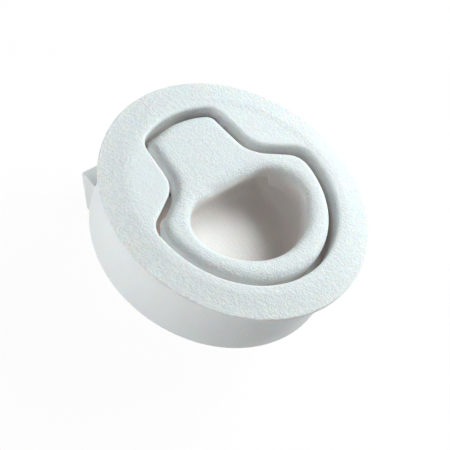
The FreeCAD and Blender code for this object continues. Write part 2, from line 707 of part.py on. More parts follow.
def make_handle_spring(side, way):
    """Torsion spring on the pin, with one leg to the arm and one to the housing."""
    radius = value("coil_radius")
    wire = value("coil_wire")
    low = -value("coil_leg")
    begin = -value("coil_start")
    finish = -value("coil_end")
    turns = value("coil_turns") + 0.5
    winding = coil(radius, wire, (begin - finish) / turns, turns)
    winding.rotate(Vector(), Vector(1, 0, 0), 90)
    winding.translate(Vector(0, begin, 0))
    lean = value("leg_lean")
    to_arm = [Vector(radius, begin, 0), Vector(radius - lean, begin, low),
              Vector(radius - lean, value("leg_seat_depth - arm_half_width"), low)]
    to_block = [Vector(-radius, finish, 0), Vector(-radius - lean, finish, low),
                Vector(-radius - lean, -value("chamber_half_width + leg_seat_depth"), low)]
    shape = winding.fuse(wire_run(to_arm, wire) + wire_run(to_block, wire))
    if way > 0:
        shape = shape.mirror(Vector(), Vector(0, 1, 0))
    spring = DOC.addObject("Part::Feature", f"handle_spring_{side}")
    spring.Shape = shape.Solids[0]
    spring.Placement = Placement(Vector(value("pivot_x"), 0, value("pivot_z")), Rotation())
    return spring


# Latch bolt, the round plate and the bolt case

def make_bolt():
    """Bolt with a ramped nose, a driven post with its brace, and spring pockets."""
    body = DOC.addObject("PartDesign::Body", "latch_bolt")
    profile = sketch_in(body, "bolt_profile", "XZ_Plane")
    polygon(profile, [
        ("-bolt_reach", "bolt_top"), ("-bolt_reach", "bolt_top - bolt_tip_height"),
        ("ramp_length - bolt_reach", "bolt_bottom"), ("-bolt_back", "bolt_bottom"),
        ("-bolt_back", "bolt_top"),
    ])
    pad(body, profile, "bolt_block", "2 * bolt_half_width", symmetric=True)
    post = sketch_in(body, "post_profile", "XZ_Plane")
    rear = "post_x + post_thickness"
    polygon(post, [
        ("post_x", "bolt_top - bolt_tip_height"), ("post_x", "post_top"), (rear, "post_top"),
        (rear, "bolt_top + brace_height"), (f"{rear} + brace_length", "bolt_top"),
        (f"{rear} + brace_length", "bolt_top - bolt_tip_height"),
    ])
    pad(body, post, "bolt_post", "2 * post_half_width", symmetric=True)
    bores = sketch_in(body, "pocket_circles", "YZ_Plane", "-bolt_back")
    for _, way in SIDES:
        circle(bores, (f"{way} * spring_side", "spring_z"), "pocket_radius")
    pocket(body, bores, "spring_pockets", "pocket_depth")
    DOC.recompute()
    block = body.Tip
    ramp_end = value("ramp_length - bolt_reach") + TOUCH
    nose = [f"Edge{n}" for n, edge in enumerate(block.Shape.Edges, start=1)
            if edge.BoundBox.XMax < ramp_end]
    soft = body.newObject("PartDesign::Fillet", "nose_edges")
    soft.Base = (block, nose)
    bind(soft, {"Radius": "bolt_round"})
    return body


def case_screw_places():
    """The four case screws, two on each side."""
    return [(x, f"{way} * ear_side") for x in ("-case_screw_front", "case_screw_rear")
            for way in (-1, 1)]


def either_side(way, inner, outer):
    """Lower and upper formula of a span on one side of the middle plane."""
    return (inner, outer) if way > 0 else (f"-({outer})", f"-({inner})")


def bolt_rails():
    """Rails and apron that hang from the round plate and keep the bolt down."""
    front = "case_wall - case_reach"
    solids = [box("front_apron", ("-case_reach", "-rail_outer", "rail_bottom"),
                  (front, "rail_outer", "plate_bottom + back_thickness / 2"))]
    for side, way in SIDES:
        low, high = either_side(way, "rail_outer - rail_width", "rail_outer")
        solids.append(box(f"rail_{side}", (f"{front} - case_wall / 2", low, "rail_bottom"),
                          ("rear_inner - rail_clearance", high,
                           "plate_bottom + back_thickness / 2")))
    return solids


def pin_posts():
    """Posts that close the pin's slots from behind."""
    posts = []
    for side, way in SIDES:
        low, high = either_side(way, "chamber_half_width + 2 * leg_hole", "pin_half_length")
        posts.append(box(f"pin_post_{side}", ("pivot_x - pin_radius", low, "plate_top - overshoot"),
                         ("pivot_x + pin_radius", high, "pivot_z - pin_hole")))
    return posts


def make_plate():
    """Round plate that closes the body and carries the bolt case."""
    solids = [cylinder("round_plate", "z", "plate_radius", ("0", "0", "plate_bottom"),
                       "back_thickness")]
    holes = []
    for n, (x, y) in enumerate(case_screw_places(), start=1):
        solids.append(cylinder(f"ear_boss_{n}", "z", "ear_radius", (x, y, "ear_top"),
                               "ear_depth + back_thickness / 2"))
        holes.append(cylinder(f"ear_bore_{n}", "z", "screw_hole", (x, y, "ear_top"),
                              "screw_length - ear_thickness + head_recess + plate_rim"))
    for n, (x, y) in enumerate(plate_screw_places(), start=1):
        holes.append(cylinder(f"plate_hole_{n}", "z", "screw_hole",
                              (x, y, "plate_bottom - overshoot"), "back_thickness + 2 * overshoot"))
        holes.append(cylinder(f"plate_head_{n}", "z", "head_hole",
                              (x, y, "plate_bottom - overshoot"), "head_recess + overshoot"))
    for side, way in SIDES:
        y = f"{way} * clamp_spacing / 2"
        solids.append(cylinder(f"clamp_boss_{side}", "z", "clamp_boss_radius",
                               ("0", y, "plate_bottom - clamp_boss_height"),
                               "clamp_boss_height + back_thickness / 2"))
        holes.append(cylinder(f"clamp_bore_{side}", "z", "clamp_hole_radius",
                              ("0", y, "plate_bottom - clamp_boss_height"), "clamp_hole_depth"))
    reach = "post_x + post_thickness + bolt_travel + slot_clearance"
    slot_half = "post_half_width + slot_clearance"
    front = "pivot_x - knuckle_radius - slot_clearance"
    holes.append(box("post_slot", (front, f"-({slot_half})", "plate_bottom - overshoot"),
                     (reach, slot_half, "plate_top + overshoot")))
    return cut("back_plate", fuse("plate_solids", solids + bolt_rails() + pin_posts()), holes)


def make_case():
    """Open box under the round plate that guides the bolt and takes its springs."""
    block = box("case_block", ("-case_reach", "-case_half", "case_base"),
                ("case_rear", "case_half", "plate_bottom"))
    upright = rounded("case_corners", block, "case_round", is_upright)
    base = value("case_base")
    soft = rounded("case_soft", upright, "base_round", lambda e: at_height(e, base))
    solids = [soft]
    holes = [box("case_hollow", ("-case_reach - overshoot", "-guide_half", "case_bottom"),
                 ("rear_inner", "guide_half", "plate_bottom + overshoot"))]
    for n, (x, y) in enumerate(case_screw_places(), start=1):
        solids.append(cylinder(f"case_ear_{n}", "z", "ear_radius", (x, y, "ear_bottom"),
                               "ear_thickness"))
        low, high = either_side(-1 if y.startswith("-") else 1, "case_half - case_wall / 2",
                                "ear_side")
        solids.append(box(f"ear_web_{n}", (f"({x}) - ear_radius", low, "ear_bottom"),
                          (f"({x}) + ear_radius", high, "ear_top")))
        holes.append(cylinder(f"ear_hole_{n}", "z", "screw_hole", (x, y, "ear_bottom - overshoot"),
                              "ear_thickness + 2 * overshoot"))
        holes.append(cylinder(f"ear_head_{n}", "z", "head_hole", (x, y, "ear_bottom - overshoot"),
                              "head_recess + overshoot"))
    spigots = [
        cylinder(f"spigot_{side}", "x", "spigot_radius",
                 ("rear_inner - spigot_length", f"{way} * spring_side", "spring_z"),
                 "spigot_length + case_wall / 2")
        for side, way in SIDES
    ]
    return fuse("bolt_case", [cut("case_body", fuse("case_solids", solids), holes)] + spigots)


def make_screw(label, place, seat):
    """Pan head screw, turned, with a cross recess, its head's face at seat."""
    body = DOC.addObject("PartDesign::Body", label)
    sketch = sketch_in(body, label + "_profile", "XZ_Plane")
    head = "screw_head_radius"
    polygon(sketch, [
        ("0", "-screw_head_height"), (f"{head} - screw_radius / 2", "-screw_head_height"),
        (head, "-screw_head_height / 2"), (head, "0"), ("screw_radius", "0"),
        ("screw_radius", "screw_length - screw_radius"), ("0", "screw_length"),
    ])
    turn = body.newObject("PartDesign::Revolution", label + "_turn")
    turn.Profile = sketch
    turn.ReferenceAxis = (sketch, ["V_Axis"])
    turn.Angle = 360
    cross = sketch_in(body, label + "_cross", "XY_Plane", "-screw_head_height")
    arm = "cross_reach"
    blade = "cross_half_width"
    polygon(cross, [
        (f"-{arm}", f"-{blade}"), (f"-{blade}", f"-{blade}"), (f"-{blade}", f"-{arm}"),
        (blade, f"-{arm}"), (blade, f"-{blade}"), (arm, f"-{blade}"),
        (arm, blade), (blade, blade), (blade, arm), (f"-{blade}", arm),
        (f"-{blade}", blade), (f"-{arm}", blade),
    ])
    pocket(body, cross, label + "_recess", "screw_head_height / 2", reverse=True)
    spot = {"Placement.Base.x": place[0], "Placement.Base.y": place[1], "Placement.Base.z": seat}
    return bind(body, spot)


# The whole latch

def make_latch():
    recess = keyhole("recess_outline", "0")
    pieces = [
        labelled("housing", make_housing(recess)),
        labelled("pull_handle", make_handle()),
        labelled("handle_pin", make_pin()),
        labelled("latch_bolt", make_bolt()),
        labelled("back_plate", make_plate()),
        labelled("bolt_case", make_case()),
    ]
    for side, way in SIDES:
        pieces.append(labelled(f"bolt_spring_{side}", make_bolt_spring(side, way)))
        pieces.append(labelled(f"handle_spring_{side}", make_handle_spring(side, way)))
    for n, place in enumerate(plate_screw_places(), start=1):
        pieces.append(make_screw(f"plate_screw_{n}", place, "plate_bottom + head_recess"))
    for n, place in enumerate(case_screw_places(), start=1):
        pieces.append(make_screw(f"case_screw_{n}", place, "ear_bottom + head_recess"))
    return pieces


def check(pieces):
    """Stop if any feature failed or any piece isn't one sound solid."""
    DOC.recompute()
    for feature in DOC.Objects:
        if {"Invalid", "Error"} & set(feature.State):
            raise RuntimeError(f"{feature.Name} failed: {feature.State}")
    for piece in pieces:
        shape = piece.Shape
        if shape.isNull() or not shape.isValid() or len(shape.Solids) != 1:
            raise RuntimeError(f"{piece.Label} isn't one sound solid")


PIECES = make_latch()
check(PIECES)
os.makedirs("parts", exist_ok=True)
for finished in PIECES:
    finished.Shape.exportStep(f"parts/{finished.Label}.step")
    print(finished.Label, round(finished.Shape.Volume, 1), len(finished.Shape.Faces))
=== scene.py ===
# The looks of a round flush push-to-close latch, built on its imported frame.
# All lengths are in metres in the frame of the part: the origin is the centre of the
# flange's underside, +Z points out of the panel and -X towards the tang and the bolt.
import math

import bmesh
import bpy
import numpy as np
from bpy.props import FloatProperty, FloatVectorProperty, PointerProperty
from mathutils import Matrix, Vector


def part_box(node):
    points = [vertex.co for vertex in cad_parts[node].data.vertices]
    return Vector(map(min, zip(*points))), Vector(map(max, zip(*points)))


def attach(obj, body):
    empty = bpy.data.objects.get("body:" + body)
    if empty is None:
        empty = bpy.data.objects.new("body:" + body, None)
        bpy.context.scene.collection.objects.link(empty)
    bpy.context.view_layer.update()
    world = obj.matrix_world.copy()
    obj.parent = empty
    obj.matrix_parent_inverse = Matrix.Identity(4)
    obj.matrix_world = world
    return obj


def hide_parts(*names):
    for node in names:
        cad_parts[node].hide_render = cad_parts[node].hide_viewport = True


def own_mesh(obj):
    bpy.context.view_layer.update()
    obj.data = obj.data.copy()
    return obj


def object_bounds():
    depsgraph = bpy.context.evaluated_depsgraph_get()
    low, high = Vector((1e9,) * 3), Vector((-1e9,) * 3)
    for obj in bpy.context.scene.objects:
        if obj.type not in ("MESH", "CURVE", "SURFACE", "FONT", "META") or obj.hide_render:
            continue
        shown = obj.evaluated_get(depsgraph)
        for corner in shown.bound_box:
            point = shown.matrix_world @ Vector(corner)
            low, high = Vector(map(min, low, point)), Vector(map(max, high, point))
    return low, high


bl_info = {
    "name": "Push-to-close latch",
    "version": (1, 0, 0),
    "blender": (4, 5, 0),
    "location": "View3D > Sidebar > Latch",
    "description": "Dresses the packed frame of a flush push-to-close latch",
    "category": "Add Mesh",
}

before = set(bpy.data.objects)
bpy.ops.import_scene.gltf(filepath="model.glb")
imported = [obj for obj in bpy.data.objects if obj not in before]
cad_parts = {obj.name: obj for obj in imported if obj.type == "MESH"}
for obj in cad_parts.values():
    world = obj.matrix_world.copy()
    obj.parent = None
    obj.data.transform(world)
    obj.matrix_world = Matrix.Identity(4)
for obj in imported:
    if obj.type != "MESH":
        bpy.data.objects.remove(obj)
CAD_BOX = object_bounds()
MM = 0.001
FLANGE_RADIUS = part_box("housing")[1].x
FLOOR_HEIGHT = CAD_BOX[0].z
FLOOR_HALF_WIDTH = 3.0
FLOOR_WHITE_SHARE = 0.96
LAMP_DISTANCE = 0.5
SENSOR_MILLIMETRES = 36.0
VIEW_RANGE = (0.01, 20.0)
WHITE = (1, 1, 1, 1)
COLOUR = {"subtype": "COLOR", "size": 3, "min": 0, "max": 1}

# Angles about the pin, counted from +X towards +Z
UP, DOWN, BACKWARD = math.pi / 2, -math.pi / 2, math.pi

# Where the plastic's finish changes, each from and to: the radius of the recess's edge, the
# heights at which the grain begins on the flange and on the handle, and the heights at which
# the painted warm shade inside the recess and cup ends, above and below
RECESS_EDGE = (24.2 * MM, 24.8 * MM)
FLANGE_GRAIN = (-0.4 * MM, -0.1 * MM)
HANDLE_GRAIN = (0.2 * MM, 0.9 * MM)
WARM_SHADE_TOP = (-2.5 * MM, 1.6 * MM)
WARM_SHADE_BOTTOM = (-13.6 * MM, -12.6 * MM)


# Sizes and colours that a user would change

class LatchFinish(bpy.types.PropertyGroup):
    moulding: FloatVectorProperty(
        name="Moulding", description="Colour of the grained white plastic",
        default=(0.835, 0.862, 0.872), **COLOUR)
    # Painted warm shade: this warmer, slightly darker colour stands in for light bounced in the
    # recess and cup, and is not a colour of the plastic
    inside: FloatVectorProperty(
        name="Inside", description="Colour of the same plastic where it is smooth, inside",
        default=(0.875, 0.832, 0.812), **COLOUR)
    bolt: FloatVectorProperty(
        name="Bolt", description="Colour of the latch bolt's plastic",
        default=(0.78, 0.80, 0.80), **COLOUR)
    steel: FloatVectorProperty(
        name="Pin steel", description="Colour of the ground pivot pin",
        default=(0.55, 0.56, 0.58), **COLOUR)
    wire: FloatVectorProperty(
        name="Spring wire", description="Colour of the drawn spring wire",
        default=(0.42, 0.43, 0.45), **COLOUR)
    zinc: FloatVectorProperty(
        name="Zinc", description="Colour of the plated screws",
        default=(0.60, 0.62, 0.64), **COLOUR)
    grain_size: FloatProperty(
        name="Grain size", description="Width of one grain of the moulded texture",
        default=0.48 * MM, unit="LENGTH")
    grain_depth: FloatProperty(
        name="Grain depth", description="Depth of the moulded texture",
        default=0.15 * MM, unit="LENGTH")


class LatchHandle(bpy.types.PropertyGroup):
    recess_radius: FloatProperty(
        name="Recess radius", description="Radius of the recess round its lobe and its tang end",
        default=23.8 * MM, unit="LENGTH")
    tang_half_angle: FloatProperty(
        name="Tang half angle", description="Half the angle that the tang's end spans",
        default=math.radians(28.0), unit="ROTATION")
    neck: FloatVectorProperty(
        name="Neck corner", description="Recess's neck corner, towards the tang and to the side",
        default=(8.5 * MM, 12.6 * MM), size=2, unit="LENGTH")
    shoulder_angle: FloatProperty(
        name="Shoulder angle", description="Direction of the shoulder corner from the axis",
        default=math.radians(95.6), unit="ROTATION")
    outline_rounds: FloatVectorProperty(
        name="Outline rounds",
        description="Rounding at the tang's end, neck and shoulder, before the gap is taken off",
        default=(4.2 * MM, 6.3 * MM, 7.0 * MM), size=3, unit="LENGTH")
    gap: FloatProperty(
        name="Gap", description="Gap all round the handle",
        default=1.5 * MM, unit="LENGTH")
    hole_radius: FloatProperty(
        name="Finger hole radius", description="Radius of the finger hole's round side",
        default=16.8 * MM, unit="LENGTH")
    hole_side: FloatProperty(
        name="Finger hole side", description="Axis to the finger hole's tang side, at its ends",
        default=2.0 * MM, unit="LENGTH")
    hole_bow: FloatProperty(
        name="Finger hole bow", description="Radius of the finger hole's bowed tang side",
        default=120.0 * MM, unit="LENGTH")
    hole_corner: FloatProperty(
        name="Finger hole corners", description="Rounding of the finger hole's corners",
        default=7.4 * MM, unit="LENGTH")
    top: FloatProperty(
        name="Top", description="Handle's top above the panel face",
        default=2.0 * MM, unit="LENGTH")
    tang_bottom: FloatProperty(
        name="Tang underside", description="Height of the tang's underside",
        default=-2.2 * MM, unit="LENGTH")
    ring_bottom: FloatProperty(
        name="Ring underside", description="Height of the ring's underside",
        default=-4.8 * MM, unit="LENGTH")
    ring_start: FloatProperty(
        name="Ring start", description="Where the tang thickens into the ring",
        default=-1.5 * MM, unit="LENGTH")
    edge_round: FloatProperty(
        name="Outer edge", description="Rounding of the handle's outer top edge",
        default=2.6 * MM, unit="LENGTH")
    ring_round: FloatProperty(
        name="Ring's inner edge", description="Rounding of the finger hole along the ring",
        default=2.5 * MM, unit="LENGTH")
    tang_round: FloatProperty(
        name="Tang's inner edge", description="Rounding of the finger hole along the tang",
        default=3.4 * MM, unit="LENGTH")
    crest: FloatProperty(
        name="Crest", description="Level strip left between the ring's rounded edges",
        default=0.5 * MM, unit="LENGTH")
    pivot: FloatVectorProperty(
        name="Pivot", description="Handle's pivot in the latch's middle plane, along X and Z",
        default=(-19.5 * MM, -1.7 * MM), size=2, unit="LENGTH")
    knuckle_radius: FloatProperty(
        name="Knuckle radius", description="Radius of the knuckles round the pin",
        default=2.6 * MM, unit="LENGTH")
    knuckle_wall: FloatProperty(
        name="Knuckle wall", description="Outer knuckles' wall above the pin, inside the tang",
        default=0.45 * MM, unit="LENGTH")
    bore_radius: FloatProperty(
        name="Bore radius", description="Radius of the pin's bore",
        default=1.3 * MM, unit="LENGTH")
    arm_length: FloatProperty(
        name="Arm length", description="Lever arm from the pivot to its rounded tip",
        default=12.0 * MM, unit="LENGTH")
    arm_tip: FloatProperty(
        name="Arm tip", description="Radius of the lever arm's tip",
        default=1.8 * MM, unit="LENGTH")
    arm_half_width: FloatProperty(
        name="Arm half width", description="Half width of the lever arm",
        default=3.2 * MM, unit="LENGTH")
    lugs: FloatVectorProperty(
        name="Outer knuckles", description="Inner and outer side of the outer knuckles",
        default=(6.6 * MM, 8.2 * MM), size=2, unit="LENGTH")
    coil_pocket: FloatProperty(
        name="Coil pocket", description="Radius of the pockets that clear the springs' coils",
        default=2.4 * MM, unit="LENGTH")


class LatchMetal(bpy.types.PropertyGroup):
    head_radius: FloatProperty(
        name="Head radius", description="Radius of a screw's pan head",
        default=1.9 * MM, unit="LENGTH")
    head_height: FloatProperty(
        name="Head height", description="Height of a screw's pan head",
        default=1.1 * MM, unit="LENGTH")
    cross_reach: FloatProperty(
        name="Cross reach", description="Half length of the cross in a screw's head",
        default=1.15 * MM, unit="LENGTH")
    cross_half_width: FloatProperty(
        name="Cross half width", description="Half width of the cross at its bottom",
        default=0.19 * MM, unit="LENGTH")
    cross_depth: FloatProperty(
        name="Cross depth", description="Depth of the cross in a screw's head",
        default=0.6 * MM, unit="LENGTH")
    shank_radius: FloatProperty(
        name="Shank radius", description="Radius over a screw's thread",
        default=1.0 * MM, unit="LENGTH")
    core_radius: FloatProperty(
        name="Core radius", description="Radius at the root of a screw's thread",
        default=0.72 * MM, unit="LENGTH")
    thread_pitch: FloatProperty(
        name="Thread pitch", description="Advance of a screw's thread in one turn",
        default=0.8 * MM, unit="LENGTH")
    bolt_coil: FloatProperty(
        name="Bolt spring coil", description="Mean radius of the bolt springs",
        default=2.0 * MM, unit="LENGTH")
    bolt_wire: FloatProperty(
        name="Bolt spring wire", description="Wire radius of the bolt springs",
        default=0.35 * MM, unit="LENGTH")
    bolt_travel: FloatProperty(
        name="Bolt travel", description="Bolt's travel at its limit, which the springs take up",
        default=7.8 * MM, unit="LENGTH")
    handle_coil: FloatProperty(
        name="Handle spring coil", description="Mean radius of the handle springs",
        default=1.8 * MM, unit="LENGTH")
    handle_wire: FloatProperty(
        name="Handle spring wire", description="Wire radius of the handle springs",
        default=0.3 * MM, unit="LENGTH")
    handle_coils: FloatVectorProperty(
        name="Handle spring place", description="Coil's two ends along the pin",
        default=(3.85 * MM, 6.19 * MM), size=2, unit="LENGTH")
    leg_ends: FloatVectorProperty(
        name="Leg ends", description="Ends along the pin of the legs at the arm and the block",
        default=(2.0 * MM, 11.0 * MM), size=2, unit="LENGTH")
    leg_drop: FloatProperty(
        name="Leg drop", description="Depth of the handle springs' legs below the pin",
        default=6.5 * MM, unit="LENGTH")
    leg_lean: FloatProperty(
        name="Leg lean", description="Lean of the handle springs' legs towards the tang's end",
        default=0.7 * MM, unit="LENGTH")


class LatchStage(bpy.types.PropertyGroup):
    azimuth: FloatProperty(
        name="Azimuth", description="Camera's turn about the latch's axis",
        default=math.radians(23.0), unit="ROTATION")
    elevation: FloatProperty(
        name="Elevation", description="Camera's height above the panel's plane",
        default=math.radians(49.18), unit="ROTATION")
    roll: FloatProperty(
        name="Roll", description="Camera's turn about its own axis",
        default=math.radians(-31.53), unit="ROTATION")
    distance: FloatProperty(
        name="Distance", description="Camera to the flange's centre, before the offsets",
        default=10 * FLANGE_RADIUS, unit="LENGTH")
    lens: FloatProperty(
        name="Lens", description="Focal length in millimetres on a 36 mm wide sensor",
        default=115.02, min=1)
    offset_right: FloatProperty(
        name="Offset right", description="Flange's centre right of the picture's middle",
        default=0.074 * FLANGE_RADIUS, unit="LENGTH")
    offset_up: FloatProperty(
        name="Offset up", description="Flange's centre above the picture's middle",
        default=0.190 * FLANGE_RADIUS, unit="LENGTH")
    world_level: FloatProperty(
        name="World level", description="Strength of the even light from all round",
        default=0.12, min=0)
    world_colour: FloatVectorProperty(
        name="World colour", description="Colour of the even light from all round",
        default=(1.0, 0.93, 0.88), **COLOUR)
    key_power: FloatProperty(
        name="Key power", description="Power of the large lamp beside the lobe, in watts",
        default=3.15, min=0)
    key_width: FloatProperty(
        name="Key width", description="Width of the large lamp",
        default=0.30, unit="LENGTH")
    key_colour: FloatVectorProperty(
        name="Key colour", description="Colour of the large lamp",
        default=(0.90, 0.99, 1.0), **COLOUR)
    key_direction: FloatVectorProperty(
        name="Key direction", description="Direction from the latch to the large lamp",
        default=(0.09, 0.68, 0.73), subtype="DIRECTION")
    fill_power: FloatProperty(
        name="Fill power", description="Power of the lamp at the picture's left, in watts",
        default=1.35, min=0)
    fill_colour: FloatVectorProperty(
        name="Fill colour", description="Colour of the lamp at the picture's left",
        default=(0.96, 0.99, 1.0), **COLOUR)
    fill_width: FloatProperty(
        name="Fill width", description="Width of the lamp at the picture's left",
        default=0.13, unit="LENGTH")
    fill_direction: FloatVectorProperty(
        name="Fill direction", description="Direction from the latch to the lamp at the left",
        default=(-0.36, -0.93, 0.04), subtype="DIRECTION")
    front_power: FloatProperty(
        name="Front power", description="Power of the lamp behind the camera, in watts",
        default=0.12, min=0)
    front_colour: FloatVectorProperty(
        name="Front colour", description="Colour of the lamp behind the camera",
        default=(1.0, 0.97, 0.93), **COLOUR)
    floor_colour: FloatVectorProperty(
        name="Floor colour", description="Colour of the pale floor, as the latch sees it",
        default=(0.93, 0.91, 0.89), **COLOUR)


# Shader maths

class Number:
    """A shader value that takes Python arithmetic and adds its Math nodes."""

    def __init__(self, shader, socket):
        self.shader = shader
        self.socket = socket

    def maths(self, operation, *operands):
        node = self.shader.node("ShaderNodeMath", {"operation": operation},
                                dict(enumerate(operands)))
        return Number(self.shader, node.outputs[0])

    def __add__(self, other):
        return self.maths("ADD", self, other)

    def __radd__(self, other):
        return self.maths("ADD", other, self)

    def __sub__(self, other):
        return self.maths("SUBTRACT", self, other)

    def __rsub__(self, other):
        return self.maths("SUBTRACT", other, self)

    def __mul__(self, other):
        return self.maths("MULTIPLY", self, other)

    def __rmul__(self, other):
        return self.maths("MULTIPLY", other, self)

    def power(self, exponent):
        return self.maths("POWER", self, exponent)

    def root(self):
        return self.maths("SQRT", self)

    def greater(self, other):
        return self.maths("MAXIMUM", self, other)

    def step(self, low, high):
        """0 below low, 1 above high and a smooth rise between them."""
        node = self.shader.node("ShaderNodeMapRange", {"interpolation_type": "SMOOTHSTEP"},
                                {"Value": self, "From Min": low, "From Max": high})
        return Number(self.shader, node.outputs["Result"])


class Nodes:
    """The nodes of a material or a world, added one at a time."""

    def __init__(self, owner):
        owner.use_nodes = True
        self.tree = owner.node_tree
        self.tree.nodes.clear()

    def node(self, kind, settings=None, inputs=None):
        """Add a node, set its settings, then give its sockets values or links."""
        node = self.tree.nodes.new(kind)
        for name, setting in (settings or {}).items():
            setattr(node, name, setting)
        self.feed(node, inputs or {})
        return node

    def feed(self, node, inputs):
        """Give a node's sockets values or links."""
        for name, content in inputs.items():
            source = content.socket if isinstance(content, Number) else content
            if isinstance(source, bpy.types.NodeSocket):
                self.tree.links.new(source, node.inputs[name])
            else:
                node.inputs[name].default_value = source

    def background_rays(self):
        """1 for rays that show the background to the camera, to gloss or through glass."""
        path = self.node("ShaderNodeLightPath")
        camera, gloss, glass = (Number(self, path.outputs[f"Is {kind} Ray"])
                                for kind in ("Camera", "Glossy", "Transmission"))
        return camera.greater(gloss).greater(glass)


class Shader(Nodes):
    """The nodes of one material round a Principled surface."""

    def __init__(self, name, **uniform):
        self.material = bpy.data.materials.new(name)
        super().__init__(self.material)
        self.surface = self.node("ShaderNodeBsdfPrincipled", {}, socket_names(uniform))
        self.output = self.node("ShaderNodeOutputMaterial", {},
                                {"Surface": self.surface.outputs[0]})
        place = self.node("ShaderNodeTexCoord")
        self.place = place.outputs["Object"]
        split = self.node("ShaderNodeSeparateXYZ", {}, {0: self.place})
        self.x, self.y, self.z = (Number(self, way) for way in split.outputs)

    def noise(self, per_metre, detail=2.0, rough=0.5, vector=None):
        """Noise from 0 to 1 with about that many bumps in a metre."""
        inputs = {"Vector": vector or self.place, "Scale": per_metre, "Detail": detail,
                  "Roughness": rough}
        return Number(self, self.node("ShaderNodeTexNoise", {}, inputs).outputs["Fac"])

    def stretched(self, x, y, z):
        """Object coordinates with their own number of bumps in a metre along each axis."""
        node = self.node("ShaderNodeMapping", {}, {"Vector": self.place, "Scale": (x, y, z)})
        return node.outputs["Vector"]

    def blend(self, factor, first, second):
        """Colour that goes from first to second as the factor rises."""
        node = self.node("ShaderNodeMix", {"data_type": "RGBA"},
                         {0: factor, 6: first, 7: second})
        return node.outputs[2]

    def set(self, **varying):
        """Link what changes over the surface to the Principled sockets."""
        self.feed(self.surface, socket_names(varying))

    def bump(self, height, depth):
        """Bump whose height runs from 0 to 1 times depth."""
        return self.node("ShaderNodeBump", {},
                         {"Height": height, "Distance": depth}).outputs["Normal"]


def socket_names(words):
    """Principled socket names from Python words: base_color gives Base Color."""
    special = {"ior": "IOR", "specular": "Specular IOR Level"}
    return {special.get(w, w.replace("_", " ").title()): v for w, v in words.items()}


def shaded(colour, factor):
    """A colour made lighter or darker, with full alpha."""
    return tuple(min(1.0, c * factor) for c in colour) + (1.0,)


def grained_moulding(name, finish, grain_start, inside_grain):
    """White moulded plastic: sparked grain above the heights of grain_start, softened inside
    the recess to a share of inside_grain, smoother walls, and painted warm shade in the recess and
    cup."""
    s = Shader(name, ior=1.48, specular=0.25, subsurface_weight=0.7, subsurface_scale=0.8 * MM,
               subsurface_radius=(1.5, 1.0, 0.75))
    cells = s.noise(1 / finish.grain_size, detail=3.0, rough=0.6)
    pits = s.noise(0.45 / finish.grain_size, detail=1.0)
    grain = (cells * 0.7 + pits * 0.3).step(0.30, 0.70)
    waves = s.noise(90.0)
    inner = 1 - (s.x.power(2.0) + s.y.power(2.0)).root().step(*RECESS_EDGE)
    show = s.z.step(*grain_start)
    if inside_grain < 1:
        show = show * (1 - inner * (1 - inside_grain))
    # Painted warm shade: in the recess and cup the colour blends to finish.inside, standing in for
    # light bounced there
    painted_warm_shade = inner * (1 - s.z.step(*WARM_SHADE_TOP)) * s.z.step(*WARM_SHADE_BOTTOM)
    mottle = (grain - 0.5) * (0.06 + 0.32 * show) + (waves - 0.5) * 0.10
    dark, light = (s.blend(painted_warm_shade, shaded(finish.moulding, level), shaded(finish.inside, level))
                   for level in (0.86, 1.14))
    tint = s.blend(mottle + 0.5, dark, light)
    roughness = 0.44 + 0.20 * show + (waves - 0.5) * 0.10 + (grain - 0.5) * 0.12
    fine = s.bump(grain * (0.25 + 0.75 * show), finish.grain_depth)
    s.set(base_color=tint, roughness=roughness, normal=fine)
    return s.material


def sliding_plastic(finish):
    """The bolt's plastic: polished along X by the guide, with fine draw marks."""
    s = Shader("sliding_plastic", ior=1.50, specular=0.5)
    marks = s.noise(1.0, detail=3.0, vector=s.stretched(60.0, 2200.0, 2200.0))
    cloud = s.noise(120.0)
    tint = s.blend((marks - 0.5) * 0.12 + (cloud - 0.5) * 0.1 + 0.5,
                   shaded(finish.bolt, 0.85), shaded(finish.bolt, 1.15))
    s.set(base_color=tint, roughness=0.30 + marks * 0.16, normal=s.bump(marks, 0.006 * MM))
    return s.material


def drawn_wire(finish):
    """Drawn spring wire: fine marks of the die and a darker heat tint in clouds."""
    s = Shader("drawn_wire", metallic=1.0)
    marks = s.noise(5200.0)
    cloud = s.noise(700.0)
    tint = s.blend(cloud, shaded(finish.wire, 0.75), shaded(finish.wire, 1.2))
    s.set(base_color=tint, roughness=0.26 + marks * 0.18, normal=s.bump(marks, 0.004 * MM))
    return s.material


def ground_steel(finish):
    """Centreless ground steel: fine rings round the pin's axis, which runs along Y."""
    s = Shader("ground_steel", metallic=1.0)
    rings = s.noise(1.0, detail=3.0, vector=s.stretched(300.0, 14000.0, 300.0))
    tint = s.blend(rings, shaded(finish.steel, 0.85), shaded(finish.steel, 1.15))
    s.set(base_color=tint, roughness=0.18 + rings * 0.14, normal=s.bump(rings, 0.003 * MM))
    return s.material


def zinc_plate(finish):
    """Bright zinc: small crystals, each a little lighter or darker."""
    s = Shader("zinc_plate", metallic=1.0)
    crystals = s.node("ShaderNodeTexVoronoi", {}, {"Vector": s.place, "Scale": 2600.0})
    patch = Number(s, crystals.outputs["Distance"])
    cloud = s.noise(600.0)
    tint = s.blend(patch * 0.6 + cloud * 0.4, shaded(finish.zinc, 0.82), shaded(finish.zinc, 1.15))
    s.set(base_color=tint, roughness=0.28 + cloud * 0.16, normal=s.bump(patch, 0.006 * MM))
    return s.material


def dress(node, material):
    """Give a node of the frame its material."""
    for slot in node.material_slots:
        slot.material = material


# Surfaces worked out on grids

